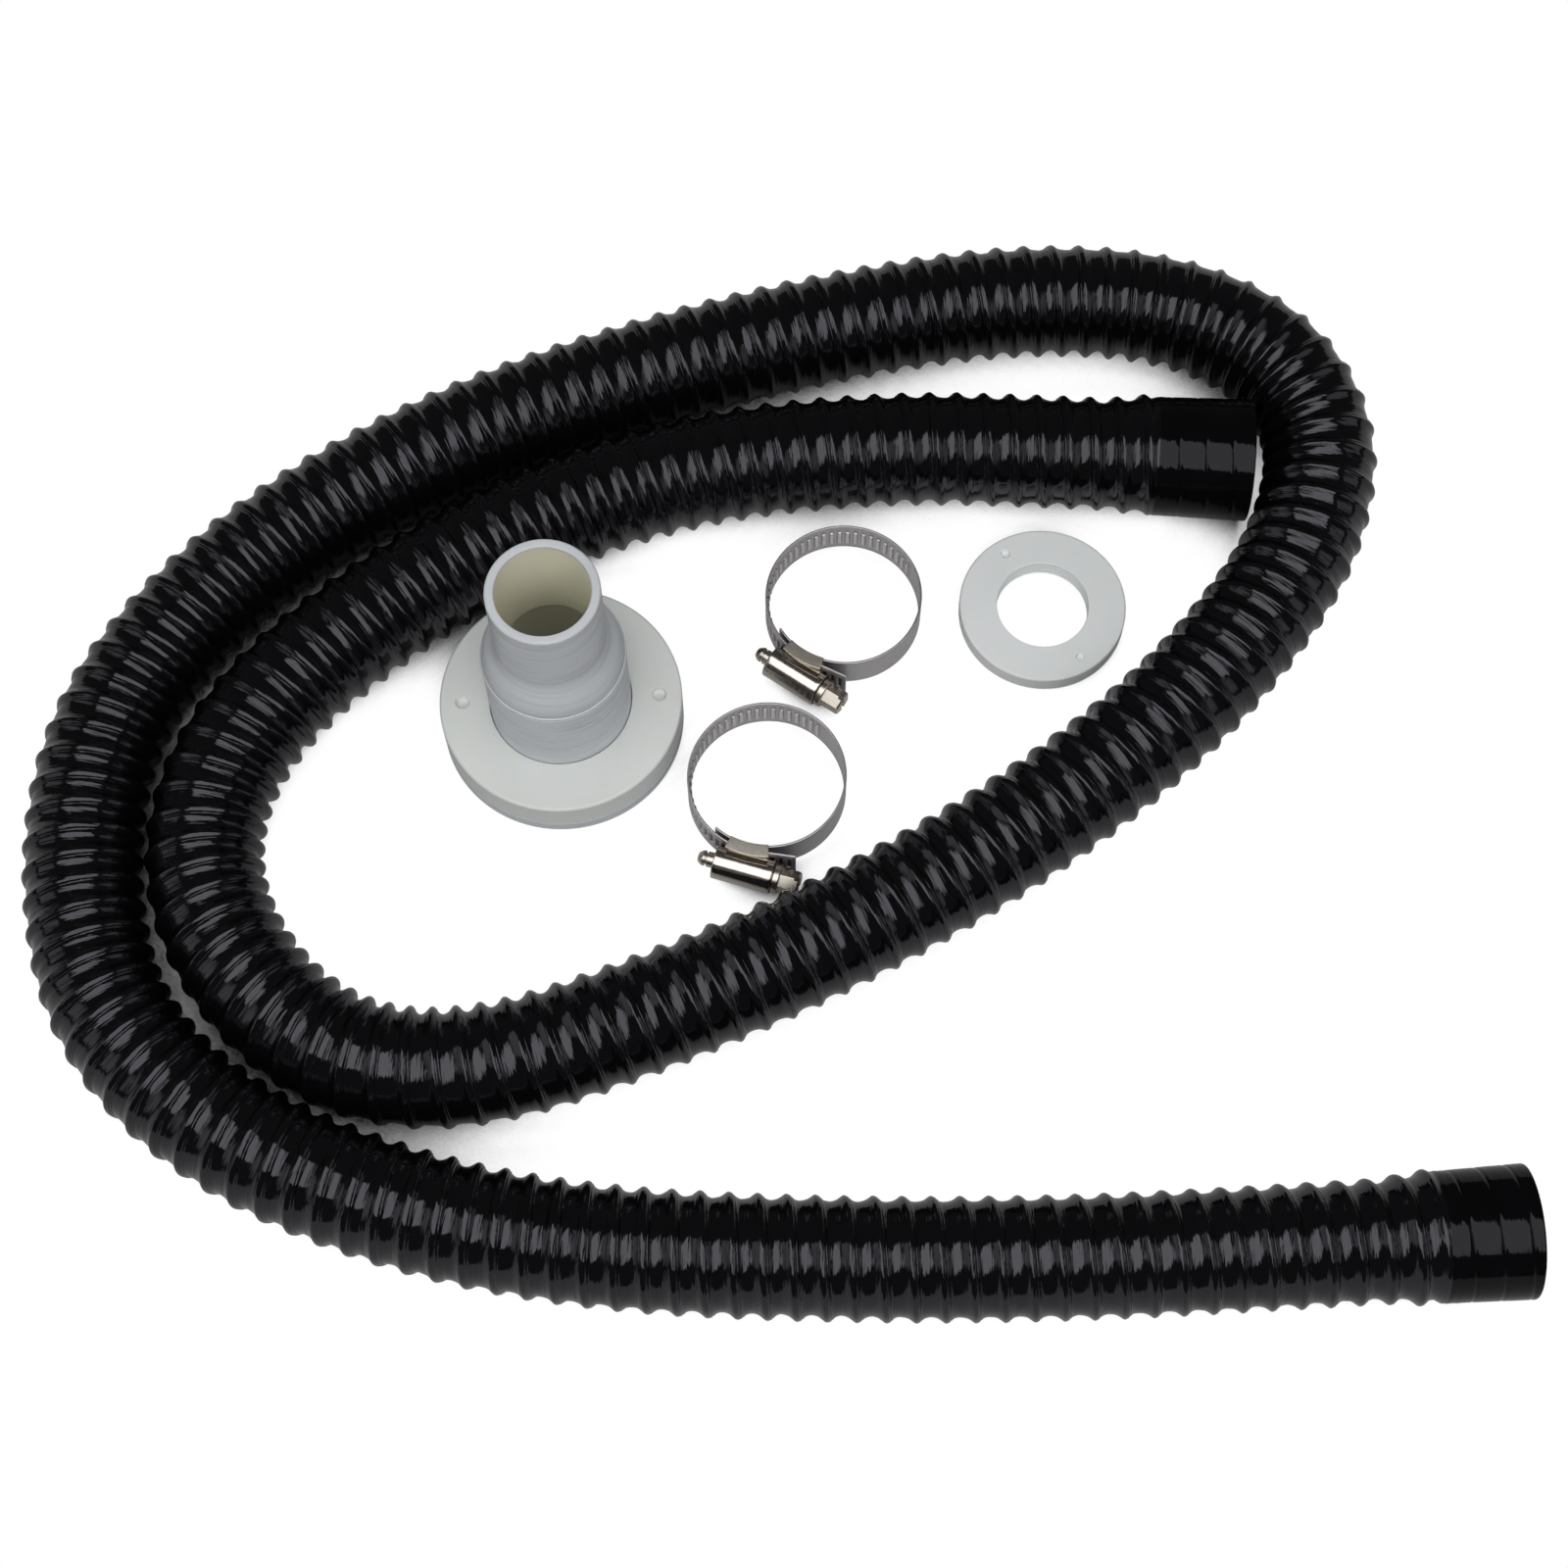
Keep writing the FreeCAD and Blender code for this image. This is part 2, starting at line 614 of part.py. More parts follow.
def make_screw(clamp):
    """Worm screw, built upright: grooved nose, worm in annular threads, collar and slotted hex head."""
    body = new_body(clamp + "_screw")
    half = "housing_length / 2"
    core = "worm_core_diameter / 2"
    crest = core + " + worm_thread_height"
    nose = "nose_diameter / 2"
    tip = "-1 * (" + half + " + nose_length)"
    ring = "-1 * (" + half + " + nose_groove_place)"
    collar = half + " + collar_end_play"
    washer = collar + " + collar_thickness"
    outline = [
        ("0", tip),
        ("nose_tip_diameter / 2", tip + " + nose_tip_height"),
        ("nose_shoulder_diameter / 2", tip + " + nose_shoulder_height"),
        (nose, ring + " - nose_groove_width"),
        (nose + " - nose_groove_depth", ring + " - nose_groove_width"),
        (nose + " - nose_groove_depth", ring),
        (nose, ring),
        (nose, "-1 * " + half),
        (core, "-1 * " + half),
    ]
    threads = int((value_of(half) - value_of("worm_thread_width")) / value_of("band_groove_pitch"))
    for turn in range(-threads, threads + 1):
        middle = "%d * band_groove_pitch" % turn
        outline.append((core, middle + " - worm_thread_width / 2"))
        outline.append((crest, middle + " - worm_thread_width / 4"))
        outline.append((crest, middle + " + worm_thread_width / 4"))
        outline.append((core, middle + " + worm_thread_width / 2"))
    outline += [
        (core, collar),
        ("collar_diameter / 2 - collar_chamfer", collar),
        ("collar_diameter / 2", collar + " + collar_chamfer"),
        ("collar_diameter / 2", washer + " - collar_chamfer"),
        ("collar_diameter / 2 - collar_chamfer", washer),
        ("0", washer),
    ]
    body.Tip = revolve(body, outline)

    hexagon = attached_sketch(body, clamp + "_hexagon", "XY_Plane", washer)
    flat = "head_across_flats / 2"
    corner = "head_across_flats / 2 / %.8f" % math.cos(math.pi / 6)
    draw_outline(hexagon, [
        (corner, "0"),
        (corner + " / 2", flat),
        ("-1 * " + corner + " / 2", flat),
        ("-1 * " + corner, "0"),
        ("-1 * " + corner + " / 2", "-1 * " + flat),
        (corner + " / 2", "-1 * " + flat),
    ])
    head = body.newObject("PartDesign::Pad", clamp + "_head")
    head.Profile = hexagon
    bind(head, Length="head_length")
    doc.recompute()
    body.Tip = head

    top = value_of(washer + " + head_length")
    rim = ["Edge%d" % (index + 1) for index, edge in enumerate(head.Shape.Edges)
           if all(abs(vertex.Z - top) < SAME_LENGTH for vertex in edge.Vertexes)]
    chamfer = body.newObject("PartDesign::Chamfer", clamp + "_head_chamfer")
    chamfer.Base = (head, rim)
    bind(chamfer, Size="head_chamfer")
    doc.recompute()
    body.Tip = chamfer

    slot = attached_sketch(body, clamp + "_driver_slot", "XY_Plane", washer + " + head_length")
    draw_outline(slot, [
        ("-1 * head_across_flats", "-1 * driver_slot_width / 2"),
        ("head_across_flats", "-1 * driver_slot_width / 2"),
        ("head_across_flats", "driver_slot_width / 2"),
        ("-1 * head_across_flats", "driver_slot_width / 2"),
    ])
    body.Tip = pocket(body, slot, clamp + "_driver_slot_cut", "driver_slot_depth")
    place = Vector(value_of("housing_shift"), -screw_offset(), value_of(HOUSING_HEIGHT) / 2)
    lay_down(body, clamp, Placement(place, Rotation(UP, Vector(1, 0, 0))))
    node(clamp + "_screw", body)


make_hose()
make_cuff("near_cuff", HOSE_ROUTE[0], HOSE_ROUTE[1])
make_cuff("far_cuff", HOSE_ROUTE[-1], HOSE_ROUTE[-2])
make_fitting()
make_nuts()
for clamp_name in CLAMPS:
    make_band(clamp_name)
    make_saddle(clamp_name)
    make_housing(clamp_name)
    make_screw(clamp_name)
doc.recompute()

for thing in doc.Objects:
    if "Invalid" in thing.State or "Error" in thing.State:
        raise ValueError("%s did not compute: %s" % (thing.Label, thing.State))
for name, thing in nodes.items():
    if thing.Shape.isNull() or not thing.Shape.isValid():
        raise ValueError(name + " has no valid shape")

os.makedirs("parts", exist_ok=True)
for name, thing in nodes.items():
    thing.Shape.exportStep("parts/%s.step" % name)
    print("%-18s %d solid, %.0f mm3" % (name, len(thing.Shape.Solids), thing.Shape.Volume))
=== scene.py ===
import json
import math

import bmesh
import bpy
import numpy as np
from mathutils import Matrix, Vector


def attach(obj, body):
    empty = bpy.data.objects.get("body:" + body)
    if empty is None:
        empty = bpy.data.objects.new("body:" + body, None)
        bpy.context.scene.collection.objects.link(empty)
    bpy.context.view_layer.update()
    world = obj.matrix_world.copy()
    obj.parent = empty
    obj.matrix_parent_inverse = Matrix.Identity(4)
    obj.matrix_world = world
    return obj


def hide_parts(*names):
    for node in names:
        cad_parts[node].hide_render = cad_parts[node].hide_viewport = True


# Drain hose kit, dressed: a coiled ribbed vinyl hose with smooth cuffs, a white tank fitting with its lock
# nut, a spare ring nut and two stainless worm-drive clamps. Sizes are in millimetres, the scene in metres.

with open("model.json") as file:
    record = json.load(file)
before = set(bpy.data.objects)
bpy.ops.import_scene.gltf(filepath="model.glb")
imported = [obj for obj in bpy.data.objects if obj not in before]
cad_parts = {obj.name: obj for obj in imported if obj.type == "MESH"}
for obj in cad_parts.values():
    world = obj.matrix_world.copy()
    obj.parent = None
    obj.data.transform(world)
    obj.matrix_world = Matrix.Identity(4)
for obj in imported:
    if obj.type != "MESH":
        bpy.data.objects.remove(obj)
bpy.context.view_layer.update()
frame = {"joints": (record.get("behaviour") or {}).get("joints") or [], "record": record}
record = frame["record"]
MM = 0.001
UP = Vector((0, 0, 1))

mounts = {mount["name"]: mount for mount in record["mounts"]}
joints = {joint["name"]: joint for joint in frame["joints"]}


# Camera and lamps

CAMERA_TARGET = (6, -11, 17)
CAMERA_ELEVATION = 68
CAMERA_DISTANCE = 842.7
CAMERA_LENS = 67.5
SENSOR_WIDTH = 36
NEAREST_SEEN = 10
SOFTBOX_DISTANCE = 1300
SOFTBOX_SIZE = (1700, 1240)
FILL_DISTANCE = 1500
FILL_SIZE = (900, 900)


def aim(thing, elevation, azimuth, distance):
    """Stands a thing that far from the camera's target and turns it there. Azimuth 90 is the right."""
    target = Vector(CAMERA_TARGET) * MM
    level = math.cos(math.radians(elevation))
    turn = math.radians(azimuth)
    way = Vector((level * math.sin(turn), -level * math.cos(turn), math.sin(math.radians(elevation))))
    thing.location = target + way * distance * MM
    thing.rotation_euler = (target - thing.location).to_track_quat("-Z", "Y").to_euler()


def make_camera():
    camera = bpy.data.objects.new("camera", bpy.data.cameras.new("camera"))
    bpy.context.scene.collection.objects.link(camera)
    camera.data.lens = CAMERA_LENS
    camera.data.sensor_width = SENSOR_WIDTH
    camera.data.clip_start = NEAREST_SEEN * MM
    aim(camera, CAMERA_ELEVATION, 0, CAMERA_DISTANCE)
    bpy.context.scene.camera = camera


def make_lamp(name, elevation, azimuth, distance, size, radiance, roll=0.0, gloss=True):
    """A softbox of the given radiance, turned about its own axis by roll. Without gloss no shiny surface
    mirrors it, and it only fills shade."""
    width, depth = size
    lamp = bpy.data.objects.new(name, bpy.data.lights.new(name, "AREA"))
    bpy.context.scene.collection.objects.link(lamp)
    lamp.data.shape = "RECTANGLE"
    lamp.data.size = width * MM
    lamp.data.size_y = depth * MM
    lamp.data.energy = radiance * math.pi * width * depth * MM * MM
    aim(lamp, elevation, azimuth, distance)
    lamp.rotation_euler.rotate_axis("Z", math.radians(roll))
    lamp.visible_camera = False
    lamp.visible_glossy = gloss


make_camera()
make_lamp("overhead_softbox", 72.5, 0, SOFTBOX_DISTANCE, SOFTBOX_SIZE, radiance=1.9, roll=-18)
make_lamp("left_fill", 25, -80, FILL_DISTANCE, FILL_SIZE, radiance=0.6)
make_lamp("right_fill", 25, 80, FILL_DISTANCE, FILL_SIZE, radiance=0.5)
make_lamp("front_fill", 38, 0, FILL_DISTANCE, FILL_SIZE, radiance=1.6, gloss=False)
make_lamp("back_fill", 20, 180, FILL_DISTANCE, FILL_SIZE, radiance=1.8, gloss=False)


# Mesh building

WELD_DISTANCE = 0.002
WALL_MAP = "wall"
SHARP_DEGREES = 35
SHEET_SHARP_DEGREES = 40
SPARE_TURNS = 2


class Surface:
    """Grids of points, gathered one by one and then welded into one mesh wherever their points meet."""

    def __init__(self):
        self.points = []
        self.faces = []
        self.wall = []
        self.finish = []
        self.count = 0

    def grid(self, points, wall=None, finish=0):
        """points is rows by columns by 3, in metres. wall is rows by columns by 2: distances along the
        surface. finish is the number of the material that the faces take, one for all or one for each."""
        rows, columns = points.shape[:2]
        index = self.count + np.arange(rows * columns).reshape(rows, columns)
        corners = [index[:-1, :-1], index[1:, :-1], index[1:, 1:], index[:-1, 1:]]
        self.faces.append(np.stack([corner.ravel() for corner in corners], axis=1))
        self.finish.append(np.broadcast_to(finish, (rows - 1, columns - 1)).ravel().astype(np.int32))
        self.points.append(points.reshape(-1, 3))
        if wall is None:
            wall = np.zeros((rows, columns, 2))
        self.wall.append(wall.reshape(-1, 2))
        self.count += rows * columns

    def build(self, name, sharp_degrees=SHARP_DEGREES):
        """The object: smooth but for edges that turn by more than the given angle."""
        points = np.concatenate(self.points)
        faces = np.concatenate(self.faces)
        wall = np.concatenate(self.wall)
        mesh = bpy.data.meshes.new(name)
        mesh.vertices.add(len(points))
        mesh.vertices.foreach_set("co", points.astype(np.float32).ravel())
        mesh.loops.add(faces.size)
        mesh.loops.foreach_set("vertex_index", faces.ravel().astype(np.int32))
        mesh.polygons.add(len(faces))
        mesh.polygons.foreach_set("loop_start", np.arange(0, faces.size, 4, dtype=np.int32))
        mesh.polygons.foreach_set("material_index", np.concatenate(self.finish))
        mesh.update(calc_edges=True)
        layer = mesh.uv_layers.new(name=WALL_MAP)
        layer.uv.foreach_set("vector", wall[faces.ravel()].astype(np.float32).ravel())
        return finish_mesh(name, mesh, sharp_degrees)


def finish_mesh(name, mesh, sharp_degrees):
    """Welds a mesh, turns its faces outwards, shades it and puts it in the scene."""
    work = bmesh.new()
    work.from_mesh(mesh)
    bmesh.ops.remove_doubles(work, verts=work.verts, dist=WELD_DISTANCE * MM)
    loose_edges = [edge for edge in work.edges if not edge.link_faces]
    bmesh.ops.delete(work, geom=loose_edges, context="EDGES")
    loose_points = [vertex for vertex in work.verts if not vertex.link_edges]
    bmesh.ops.delete(work, geom=loose_points, context="VERTS")
    bmesh.ops.recalc_face_normals(work, faces=work.faces)
    work.to_mesh(mesh)
    work.free()
    mesh.polygons.foreach_set("use_smooth", np.ones(len(mesh.polygons), dtype=bool))
    mesh.set_sharp_from_angle(angle=math.radians(sharp_degrees))
    thing = bpy.data.objects.new(name, mesh)
    bpy.context.scene.collection.objects.link(thing)
    return thing


def one_grid(name, points, sharp_degrees=SHARP_DEGREES):
    """An object made of a single grid of points."""
    surface = Surface()
    surface.grid(points)
    return surface.build(name, sharp_degrees)


def baked(thing):
    """The object with its modifiers turned into mesh."""
    bpy.context.view_layer.update()
    graph = bpy.context.evaluated_depsgraph_get()
    shown = thing.evaluated_get(graph)
    solid = bpy.data.meshes.new_from_object(shown, preserve_all_data_layers=True, depsgraph=graph)
    thing.modifiers.clear()
    thing.data = solid
    return thing


def even_shading(thing):
    """Lets broad flat faces shade flat beside their rounded edges."""
    modifier = thing.modifiers.new("even_shading", "WEIGHTED_NORMAL")
    modifier.keep_sharp = True
    return baked(thing)


def cut_away(thing, tools):
    """Takes the tool objects' solids away from the thing."""
    for tool in tools:
        modifier = thing.modifiers.new("cut", "BOOLEAN")
        modifier.operation = "DIFFERENCE"
        modifier.solver = "EXACT"
        modifier.object = tool
    baked(thing)
    for tool in tools:
        bpy.data.objects.remove(tool)
    thing.data.set_sharp_from_angle(angle=math.radians(SHARP_DEGREES))
    return thing


def turns(around, start=0.0):
    """The angles of one full turn, with its end repeated."""
    return start + np.linspace(0, 2 * math.pi, around + 1)


def turned_grid(outline, around):
    """Grid of an outline of (radius, height) points turned about Z, in millimetres."""
    outline = np.array(outline, dtype=float)
    angle = turns(around)
    radius, height = outline[:, 0:1], outline[:, 1:2]
    flat = np.ones_like(angle)
    return np.stack([radius * np.cos(angle), radius * np.sin(angle), height * flat], axis=2)


def rounded(corners, steps=5, closed=True):
    """Corners of (across, up, radius) as points, each corner drawn as an arc of its radius."""
    points = []
    count = len(corners)
    for index, (across, up, radius) in enumerate(corners):
        corner = np.array((across, up), dtype=float)
        if radius <= 0 or (not closed and index in (0, count - 1)):
            points.append(corner)
            continue
        before = np.array(corners[index - 1][:2], dtype=float) - corner
        after = np.array(corners[(index + 1) % count][:2], dtype=float) - corner
        before /= np.linalg.norm(before)
        after /= np.linalg.norm(after)
        half = math.acos(np.clip(before @ after, -1, 1)) / 2
        middle = (before + after) / np.linalg.norm(before + after)
        centre = corner + middle * radius / math.sin(half)
        start = corner + before * radius / math.tan(half) - centre
        end = corner + after * radius / math.tan(half) - centre
        swing = math.acos(np.clip(start @ end / radius ** 2, -1, 1))
        for step in range(steps + 1):
            share = step / steps
            first = math.sin((1 - share) * swing) / math.sin(swing)
            second = math.sin(share * swing) / math.sin(swing)
            points.append(centre + start * first + end * second)
    if closed:
        points.append(points[0])
    return points


def wound_grid(length, pitch, phases, around, radius_at, start=0.0, lead=0.0):
    """Distance, angle and radius of a spirally wound wall: each row follows the winding at one phase.
    Rows run past both ends and are held there, where the radius no longer depends on the phase."""
    angle = turns(around, start)
    turn_count = math.ceil(length / pitch) + 2 * SPARE_TURNS
    phase = np.concatenate([np.array(phases) + turn - SPARE_TURNS for turn in range(turn_count)])[:, None]
    along = pitch * (phase + (angle - start) / (2 * math.pi)) + lead
    along = np.clip(along, 0, length)
    return along, np.broadcast_to(angle, along.shape), radius_at(along, phase % 1, angle)


def smooth_step(value):
    value = np.clip(value, 0, 1)
    return value * value * (3 - 2 * value)


# Hose

HOSE_RADIUS = 17.0
HOSE_BORE_RADIUS = 14.5
RIB_PITCH = 7.89
RIB_LEAD = -3.2
HOSE_AROUND = 56
BORE_STEP = 4
ROUTE_STEPS = 24
# The hose's middle line, listed point by point from the near cuff to the far one
HOSE_ROUTE = [
    (182, -143), (136, -146), (76, -149), (14, -149), (-46, -146), (-98, -136), (-148, -115), (-182, -83),
    (-194, -41), (-192, 3), (-172, 39), (-139, 72), (-93, 101), (-39, 123), (20, 140), (78, 150),
    (124, 147), (156, 130), (169, 101), (162, 69), (145, 41), (117, 9), (76, -24), (26, -54),
    (-28, -79), (-76, -96), (-111, -95), (-139, -77), (-158, -47), (-159, -15), (-143, 16), (-108, 48),
    (-64, 76), (-17, 92), (36, 98), (81, 97), (117, 95),
]
# One rib, as (distance from its crest towards the near cuff, radius of the stretched wall, radius of the
# folded wall): a bead with two narrow welts down its steep side, and a web that climbs to the next rib.
RIB_OUTLINE = [
    (0.0, 17.0, 17.0), (0.35, 16.9, 16.95), (0.75, 16.66, 16.78), (0.95, 16.62, 16.74), (1.1, 16.34, 16.5),
    (1.35, 16.08, 16.26), (1.55, 16.12, 16.24), (1.7, 15.88, 15.96), (2.1, 15.72, 15.55), (2.7, 15.6, 15.2),
    (3.4, 15.55, 14.98), (4.2, 15.58, 15.02), (5.0, 15.66, 15.25), (5.7, 15.8, 15.6), (6.3, 16.05, 16.1),
    (6.8, 16.38, 16.5), (7.2, 16.7, 16.82), (7.55, 16.93, 16.97),
]
# How far the wall folds: 0 is stretched, 1 is folded
FOLD_WHEN_STRAIGHT = 0.5
FOLD_FROM_BEND = 6.0
FOLD_NOISE = 0.35
FOLD_RANGE = (-0.3, 1.4)
FOLD_SPACING = 60.0
FOLDS_AROUND = 3
FOLD_SEED = 5
THINNEST_RADIUS = 14.75
WEB_DEPTH = 1.0
WEB_FADE = 0.3
WRINKLE_DEPTH = 0.1
WRINKLE_SPACING = 1.3
WRINKLES_AROUND = 14
WRINKLE_SEED = 3
HOSE_END_FADE = 2.6
HOSE_END_SWELL = 1.7
HOSE_END_REACH = 18.0
CUFF_RADIUS = 17.0
CUFF_SWELL = (0.8, 1.5)
NEAR_CUFF_LENGTH = 24.9
FAR_CUFF_LENGTH = 28.2
CUFF_LAP_LEAD = 0.9


def route_points():
    """The route's smooth line: one NURBS spline, read as closely spaced points in metres."""
    curve = bpy.data.curves.new("hose_line", "CURVE")
    curve.dimensions = "3D"
    spline = curve.splines.new("NURBS")
    spline.points.add(len(HOSE_ROUTE) - 1)
    for point, (across, along) in zip(spline.points, HOSE_ROUTE):
        point.co = (across * MM, along * MM, HOSE_RADIUS * MM, 1)
    spline.order_u = 3
    spline.use_endpoint_u = True
    spline.resolution_u = ROUTE_STEPS
    holder = bpy.data.objects.new("hose_line", curve)
    bpy.context.scene.collection.objects.link(holder)
    line = bpy.data.meshes.new_from_object(holder)
    points = np.array([vertex.co for vertex in line.vertices])
    bpy.data.objects.remove(holder)
    bpy.data.curves.remove(curve)
    bpy.data.meshes.remove(line)
    return points


class Line:
    """A level line that can be asked for its place, direction and bend at any distance along it."""

    def __init__(self, points):
        steps = np.linalg.norm(np.diff(points, axis=0), axis=1)
        self.points = points
        self.distance = np.concatenate([[0], np.cumsum(steps)])
        self.length = self.distance[-1]
        tangent = np.gradient(points, self.distance, axis=0)
        self.tangent = tangent / np.linalg.norm(tangent, axis=1)[:, None]
        heading = np.unwrap(np.arctan2(self.tangent[:, 1], self.tangent[:, 0]))
        self.bend = np.gradient(heading, self.distance)

    def read(self, values, distance):
        return np.stack([np.interp(distance, self.distance, column) for column in values.T], axis=-1)

    def place(self, distance, angle, radius):
        """Points at a distance along the line and an angle about it: 0 is left, 90 degrees is up."""
        middle = self.read(self.points, distance)
        tangent = self.read(self.tangent, distance)
        side = np.stack([-tangent[..., 1], tangent[..., 0], np.zeros_like(distance)], axis=-1)
        side /= np.linalg.norm(side, axis=-1, keepdims=True)
        level = radius * np.cos(angle)
        rise = np.zeros_like(side)
        rise[..., 2] = radius * np.sin(angle)
        return middle + side * level[..., None] + rise


def soft_noise(seed, rows, columns):
    """A smooth random surface that repeats round the hose, to be read at (row, share of a turn)."""
    values = np.random.default_rng(seed).uniform(-1, 1, (rows, columns))

    def read(row, turn):
        row = np.clip(row, 0, rows - 1.001)
        column = (turn % 1) * columns
        low_row, low_column = row.astype(int), column.astype(int) % columns
        high_row, high_column = low_row + 1, (low_column + 1) % columns
        up, over = smooth_step(row - low_row), smooth_step(column - np.floor(column))
        low = values[low_row, low_column] * (1 - over) + values[low_row, high_column] * over
        high = values[high_row, low_column] * (1 - over) + values[high_row, high_column] * over
        return low * (1 - up) + high * up

    return read


def raised(radius, swell, angle):
    """A radius that grows by swell, but not at the bottom, where the hose rests on the surface."""
    return radius + swell * (1 - ((1 - np.sin(angle)) / 2) ** 3)


def rib_radii(phase):
    """The stretched and the folded wall's radius at a phase along the route, which leaves the near cuff."""
    outline = np.array(RIB_OUTLINE[1:][::-1] + [RIB_OUTLINE[0]])
    phases = np.append(1 - outline[:-1, 0] / RIB_PITCH, 1.0)
    return [np.interp(phase, phases, outline[:, column], period=1) for column in (1, 2)]


def make_hose(line):
    """The ribbed wall, wound along the line and open at both ends, with a plain bore inside it."""
    length = line.length / MM
    wrinkle = soft_noise(WRINKLE_SEED, int(length / WRINKLE_SPACING), WRINKLES_AROUND)
    slack = soft_noise(FOLD_SEED, int(length / FOLD_SPACING) + 2, FOLDS_AROUND)

    def radius_at(along, phase, angle):
        turn = angle / (2 * math.pi) + 1
        stretched, folded = rib_radii(phase)
        bend = np.interp(along * MM, line.distance, line.bend) * HOSE_RADIUS * MM
        fold = FOLD_WHEN_STRAIGHT + FOLD_FROM_BEND * bend * np.cos(angle)
        fold += FOLD_NOISE * slack(along / FOLD_SPACING, turn)
        radius = stretched + (folded - stretched) * np.clip(fold, *FOLD_RANGE)
        on_web = smooth_step((HOSE_RADIUS - radius - WEB_DEPTH) / WEB_FADE)
        radius -= WRINKLE_DEPTH * on_web * wrinkle(along / WRINKLE_SPACING, turn)
        radius = np.maximum(radius, THINNEST_RADIUS)
        from_end = np.minimum(along, length - along)
        kept = smooth_step(from_end / HOSE_END_FADE)
        swell = HOSE_END_SWELL * smooth_step(1 - from_end / HOSE_END_REACH) * kept
        swell += CUFF_SWELL[0] * (1 - kept)
        return raised(radius * kept + CUFF_RADIUS * (1 - kept), swell, angle)

    surface = Surface()
    start = -math.pi / 2
    phases = [0.0] + [1 - row[0] / RIB_PITCH for row in reversed(RIB_OUTLINE[1:])]
    along, angle, radius = wound_grid(length, RIB_PITCH, phases, HOSE_AROUND, radius_at, start, RIB_LEAD)
    wall = np.stack([along * MM, angle * HOSE_RADIUS * MM], axis=2)
    surface.grid(line.place(along * MM, angle, radius * MM), wall)
    inner = np.linspace(0, length, int(length / BORE_STEP))
    inner = np.concatenate([[0], inner, [length]])[:, None]
    along, angle = np.broadcast_arrays(inner, turns(HOSE_AROUND, start)[None, :])
    radius = np.full(along.shape, HOSE_BORE_RADIUS)
    radius[[0, -1]] = raised(CUFF_RADIUS, CUFF_SWELL[0], angle[0])
    wall = np.stack([along * MM, angle * HOSE_BORE_RADIUS * MM], axis=2)
    surface.grid(line.place(along * MM, angle, radius * MM), wall)
    return surface.build("ribbed_hose", sharp_degrees=60)


# A lap as (phase, height), and the phases of the plain rows between its own
LAP_ROWS = [(0.0, 0.0), (0.04, -0.14), (0.08, -0.2), (0.13, -0.06), (0.17, 0.0), (0.5, 0.03), (0.8, 0.0)]
LAP_FILL = [0.02, 0.06, 0.22, 0.27, 0.33, 0.4, 0.6, 0.7, 0.9]
LAP_FADE = 1.5
# The rim as (inset from the mouth, drop from the wall), and the ridges as (distance from the hose, height)
CUFF_RIM = [(0.35, 0.0), (0.1, 0.12), (0.0, 0.4)]
CUFF_RIDGES = [(1.0, 0.16), (4.0, 0.12)]
CUFF_RIDGE_HALF = 0.3


def make_cuff(name, seat, away, length):
    """A smooth sleeve with shallow lap lines wound round it and a plain cut mouth."""
    side = Vector((-away.y, away.x, 0))

    def place(along, angle, radius):
        middle = np.array(seat) + along[..., None] * np.array(away)
        level = (radius * np.cos(angle))[..., None] * np.array(side)
        rise = (radius * np.sin(angle))[..., None] * np.array(UP)
        return middle + level + rise

    def outside(along, angle, relief=0.0):
        return raised(CUFF_RADIUS, np.interp(along, (0, length), CUFF_SWELL) + relief, angle)

    def inside(along, angle):
        return HOSE_BORE_RADIUS + CUFF_SWELL[1] / 2 * along / length * np.sin(angle)

    def radius_at(along, phase, angle):
        lap_phases, lap_heights = np.array(LAP_ROWS + [(1.0, 0.0)]).T
        kept = smooth_step(np.minimum(along, wound_length - along) / LAP_FADE)
        laps = np.interp(phase, lap_phases, lap_heights) * kept
        ridges = sum(
            height * np.exp(-((along - middle) / CUFF_RIDGE_HALF) ** 2) for middle, height in CUFF_RIDGES)
        return outside(along, angle, laps + ridges)

    surface = Surface()
    start = -math.pi / 2
    wound_length = length - CUFF_RIM[0][0]
    rows = sorted([phase for phase, height in LAP_ROWS] + LAP_FILL)
    along, angle, radius = wound_grid(
        wound_length, RIB_PITCH, rows, HOSE_AROUND, radius_at, start, CUFF_LAP_LEAD)
    wall = np.stack([along * MM, angle * CUFF_RADIUS * MM], axis=2)
    surface.grid(place(along * MM, angle, radius * MM), wall)
    # The rim, the bore and the sleeve's end at the hose, as (distance, 1 in the bore, change of radius)
    lip = [(length - inset, 0, -drop) for inset, drop in CUFF_RIM]
    lip += [(length - inset, 1, drop) for inset, drop in reversed(CUFF_RIM)]
    lip += [(length * share, 1, 0) for share in (0.75, 0.5, 0.25, 0.0)] + [(0, 0, 0)]
    lip = np.array(lip, dtype=float)
    along, angle = np.broadcast_arrays(lip[:, 0:1], turns(HOSE_AROUND, start)[None, :])
    radius = np.where(lip[:, 1:2] == 0, outside(along, angle), inside(along, angle)) + lip[:, 2:3]
    wall = np.stack([along * MM, angle * HOSE_BORE_RADIUS * MM], axis=2)
    surface.grid(place(along * MM, angle, radius * MM), wall)
    return surface.build(name, sharp_degrees=40)


# White mouldings

